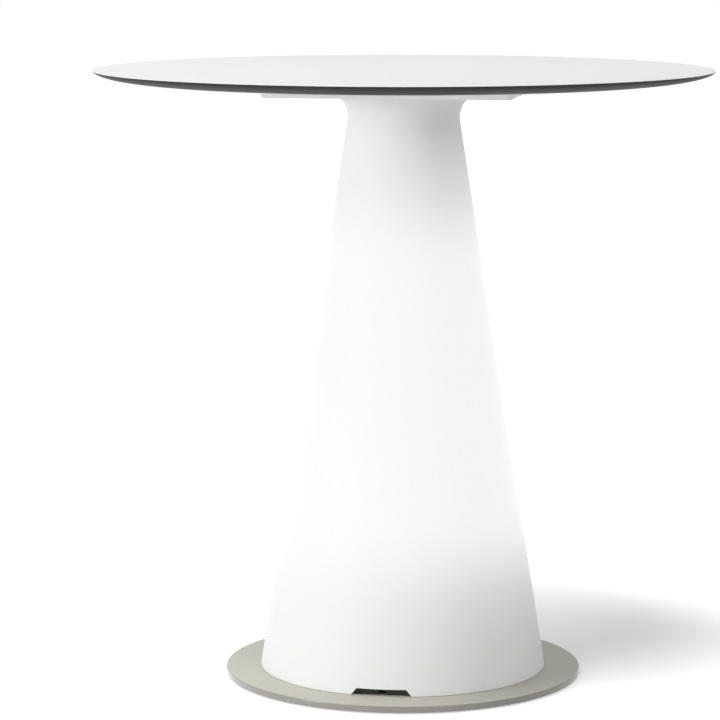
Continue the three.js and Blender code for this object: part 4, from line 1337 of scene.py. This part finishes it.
def make_lamp():
    """The lampholder and the lamp: its cap, finned heatsink, LED board and globe."""
    low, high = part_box("lampholder")
    cap_low, cap_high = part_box("lamp_cap")
    stem_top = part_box("lamp_stem")[1].z + FIT_GAP
    outer = high.x
    neck = HOLDER_NECK_RADIUS
    neck_top = low.z + HOLDER_NECK_HEIGHT
    socket = cap_high.x + FIT_GAP
    bore = STEM_RADIUS + FIT_GAP
    lead_bore = LEAD_RADIUS + FIT_GAP
    groove_low = (neck_top + high.z) / 2
    groove = HOLDER_GROOVE
    profile = [
        (bore, low.z),
        (neck, low.z),
        (neck, neck_top),
        *arc_points((0, neck_top), (outer, neck_top), (outer, high.z), HOLDER_EDGE_RADIUS),
        (outer, groove_low),
        (outer - groove, groove_low + groove),
        (outer - groove, groove_low + 2 * groove),
        (outer, groove_low + 3 * groove),
        *arc_points((outer, low.z), (outer, high.z), (socket, high.z), groove),
        (socket, high.z),
        (socket, cap_low.z),
        (lead_bore, cap_low.z),
        (lead_bore, stem_top),
        (bore, stem_top),
    ]
    show("holder_shell", turned(profile, KNURL_SIDES), "holder_ceramic", "lampholder")

    radius = cap_high.x
    shell_low = cap_low.z + LAMP_CONTACT_HEIGHT
    thread_low = shell_low + LAMP_PITCH / 2
    depth = LAMP_THREAD_DEPTH
    profile = [
        (0, cap_low.z),
        *arc_points((0, cap_low.z), (LAMP_CONTACT_RADIUS, cap_low.z), (radius, shell_low), groove),
        (radius - depth, shell_low),
        *zigzag(radius, thread_low, cap_high.z - LAMP_PITCH, LAMP_PITCH, depth),
        (radius, cap_high.z - LAMP_PITCH / 2),
        (radius, cap_high.z),
        (0, cap_high.z),
    ]
    show("lamp_screw_cap", turned(profile, KNURL_SIDES), "brass", "lamp_cap")

    low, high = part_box("lamp_heatsink")
    shoulder = high.z - (high.z - low.z) / 4
    foot = HEATSINK_FOOT_RADIUS
    rim = high.z - HEATSINK_RIM
    half = HEATSINK_FIN / 2
    inset = HEATSINK_FIN
    side = high.x - inset
    outline = [
        (0, low.z + inset),
        (foot - inset, low.z + inset),
        (side, shoulder),
        (side, high.z - inset),
        (0, high.z - inset),
    ]
    fin = stacked([[(x, y, z) for x, z in outline] for y in (-half, half)])
    fins = copied(fin, "heatsink_white", HEATSINK_FINS)
    core = [
        (0, low.z),
        *arc_points((0, low.z), (foot, low.z), (foot, rim), groove),
        (foot, low.z + HEATSINK_RIM),
        (HEATSINK_CORE_RADIUS, low.z + 2 * HEATSINK_RIM),
        (HEATSINK_CORE_RADIUS, rim),
        (side, rim),
        *arc_points((side, rim), (high.x, rim), (high.x, high.z), inset / 2),
        *arc_points((high.x, rim), (high.x, high.z), (0, high.z), inset / 2),
        (0, high.z),
    ]
    show("finned_heatsink", joined([turned(core, KNURL_SIDES), fins]), "heatsink_white", "lamp_heatsink")

    low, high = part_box("led_board")
    board_top = high.z - LED_HEIGHT
    half = LED_SIDE / 2
    led = slab((-half, -half, board_top - FIT_GAP), (half, half, high.z), FIT_GAP / 3)
    rings = [copied(led, "led_board", LED_COUNT // ring, high.x * share) for ring, share in LED_RING_SHARES]
    disc = rod(high.x, low.z, board_top, KNURL_SIDES)
    show("led_disc", joined([disc, *rings]), "led_board", "led_board")

    low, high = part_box("lamp_globe")
    middle = high.z - high.x

    def shell_points(radius):
        start = -math.asin((middle - low.z) / radius)
        angles = [start + (math.pi / 2 - start) * step / GLOBE_STEPS for step in range(GLOBE_STEPS)]
        arc = [(radius * math.cos(angle), middle + radius * math.sin(angle)) for angle in angles]
        return [*arc, (0, middle + radius)]

    profile = shell_points(high.x)[::-1] + shell_points(high.x - GLOBE_WALL)
    show("opal_globe", turned(profile, KNURL_SIDES), "lamp_opal", "lamp_globe")


# Stage

# Lamps: name, turn from the camera towards the right, elevation, spread (degrees) and strength
LAMPS = [
    ("key_light", -78, 65, 32, 1.47),
    ("side_light", -60, 3, 20, 1.52),
    ("fill_light", 24, 36, 60, 0.64),
]
WHITE = (1, 1, 1, 1)
WORLD_LEVEL = 0.3
FLOOR_COLOR = (0.75, 0.75, 0.75, 1)
FLOOR_RADIUS = 12

# How much the floor is lifted to white, as painted light that washes out the cast shadow away from one
# place: where this is least, and how it rises around that place
LIFT_CENTRE_RIGHT = 0.1
LIFT_CENTRE_BEHIND = 0.27
LIFT_START_RADIUS = 0.19
LIFT_END_RADIUS = 0.44
FLOOR_LIFT_NEAR = 0.14
FLOOR_LIFT_FAR = 0.54


def seen_directly(tree):
    """One where a ray comes from the camera, a reflection or glass, and zero elsewhere."""
    labels = ["Is Camera Ray", "Is Glossy Ray", "Is Transmission Ray"]
    camera, glossy, glass = tree.values("ShaderNodeLightPath", labels)
    return tree.math("MAXIMUM", tree.math("MAXIMUM", camera, glossy), glass)


def cleared(owner):
    """The node tree of a material or of the world, emptied."""
    owner.use_nodes = True
    owner.node_tree.nodes.clear()
    return Tree(owner.node_tree)


def make_floor():
    """A pale floor that shows white with the table's shadow on it, washed out by painted light away from the
    shadow's place, and nothing from below.
    """
    material = bpy.data.materials.new("floor_paint")
    tree = cleared(material)
    heading = CAMERA_AZIMUTH + CAMERA_TURN
    right = Vector((math.cos(heading), math.sin(heading), 0))
    behind = Vector((-math.sin(heading), math.cos(heading), 0))
    centre = LIFT_CENTRE_RIGHT * right + LIFT_CENTRE_BEHIND * behind
    away = tree.vector_math("DISTANCE", "Value", tree.place(), centre)
    lift_range = (LIFT_START_RADIUS, LIFT_END_RADIUS, FLOOR_LIFT_NEAR, FLOOR_LIFT_FAR)
    # Painted light: the floor is lifted more the farther it is from that place, which fades the cast shadow
    # there
    rise = tree.ranged(away, *lift_range, interpolation_type="SMOOTHSTEP")
    lift = tree.value("ShaderNodeEmission", 0, {"Color": WHITE, "Strength": rise})
    white = tree.value("ShaderNodeBsdfDiffuse", 0, {"Color": WHITE})
    paint = tree.value("ShaderNodeBsdfDiffuse", 0, {"Color": FLOOR_COLOR})
    lifted = tree.value("ShaderNodeAddShader", 0, {0: white, 1: lift})
    shown = tree.value("ShaderNodeMixShader", 0, {0: seen_directly(tree), 1: paint, 2: lifted})
    clear = tree.value("ShaderNodeBsdfTransparent", 0)
    below = tree.value("ShaderNodeNewGeometry", "Backfacing")
    both = tree.value("ShaderNodeMixShader", 0, {0: below, 1: shown, 2: clear})
    tree.node("ShaderNodeOutputMaterial", {"Surface": both})
    mesh = bpy.data.meshes.new("floor")
    angles = [2 * math.pi * index / RIM_SIDES for index in range(RIM_SIDES)]
    rim = [(FLOOR_RADIUS * math.cos(angle), FLOOR_RADIUS * math.sin(angle), 0) for angle in angles]
    mesh.from_pydata(rim, [], [list(range(RIM_SIDES))])
    mesh.materials.append(material)
    object_of("floor", mesh)


def make_world():
    """A soft white surround that shows as white."""
    world = bpy.data.worlds.new("studio")
    bpy.context.scene.world = world
    tree = cleared(world)
    level = tree.ranged(seen_directly(tree), 0, 1, WORLD_LEVEL, 1)
    sky = tree.value("ShaderNodeBackground", 0, {"Color": WHITE, "Strength": level})
    tree.node("ShaderNodeOutputWorld", {"Surface": sky})


def make_lamps():
    """The lamps, which turn with the camera's side of the table."""
    for name, turn, elevation, spread, strength in LAMPS:
        light = bpy.data.lights.new(name, "SUN")
        light.energy = strength
        light.angle = math.radians(spread)
        lamp = object_of(name, light)
        lamp.rotation_euler = (math.pi / 2 - math.radians(elevation), 0, CAMERA_AZIMUTH + math.radians(turn))


def make_camera():
    """The camera, at the photograph's viewing angle."""
    camera = bpy.data.cameras.new("camera")
    camera.lens = CAMERA_LENS
    camera.sensor_width = CAMERA_SENSOR
    camera.sensor_fit = "HORIZONTAL"
    holder = object_of("camera", camera)
    away = CAMERA_DISTANCE
    holder.location = (away * math.sin(CAMERA_AZIMUTH), -away * math.cos(CAMERA_AZIMUTH), CAMERA_HEIGHT)
    holder.rotation_euler = (math.pi / 2 - CAMERA_PITCH, 0, CAMERA_AZIMUTH + CAMERA_TURN)
    bpy.context.scene.camera = holder


make_tabletop()
make_cone()
make_plate()
make_fixings()
make_glides()
make_grommet()
make_terminal_box()
make_gland()
make_stem()
make_lead()
make_lamp()
make_floor()
make_world()
make_lamps()
make_camera()
bpy.context.scene.view_settings.view_transform = "Standard"
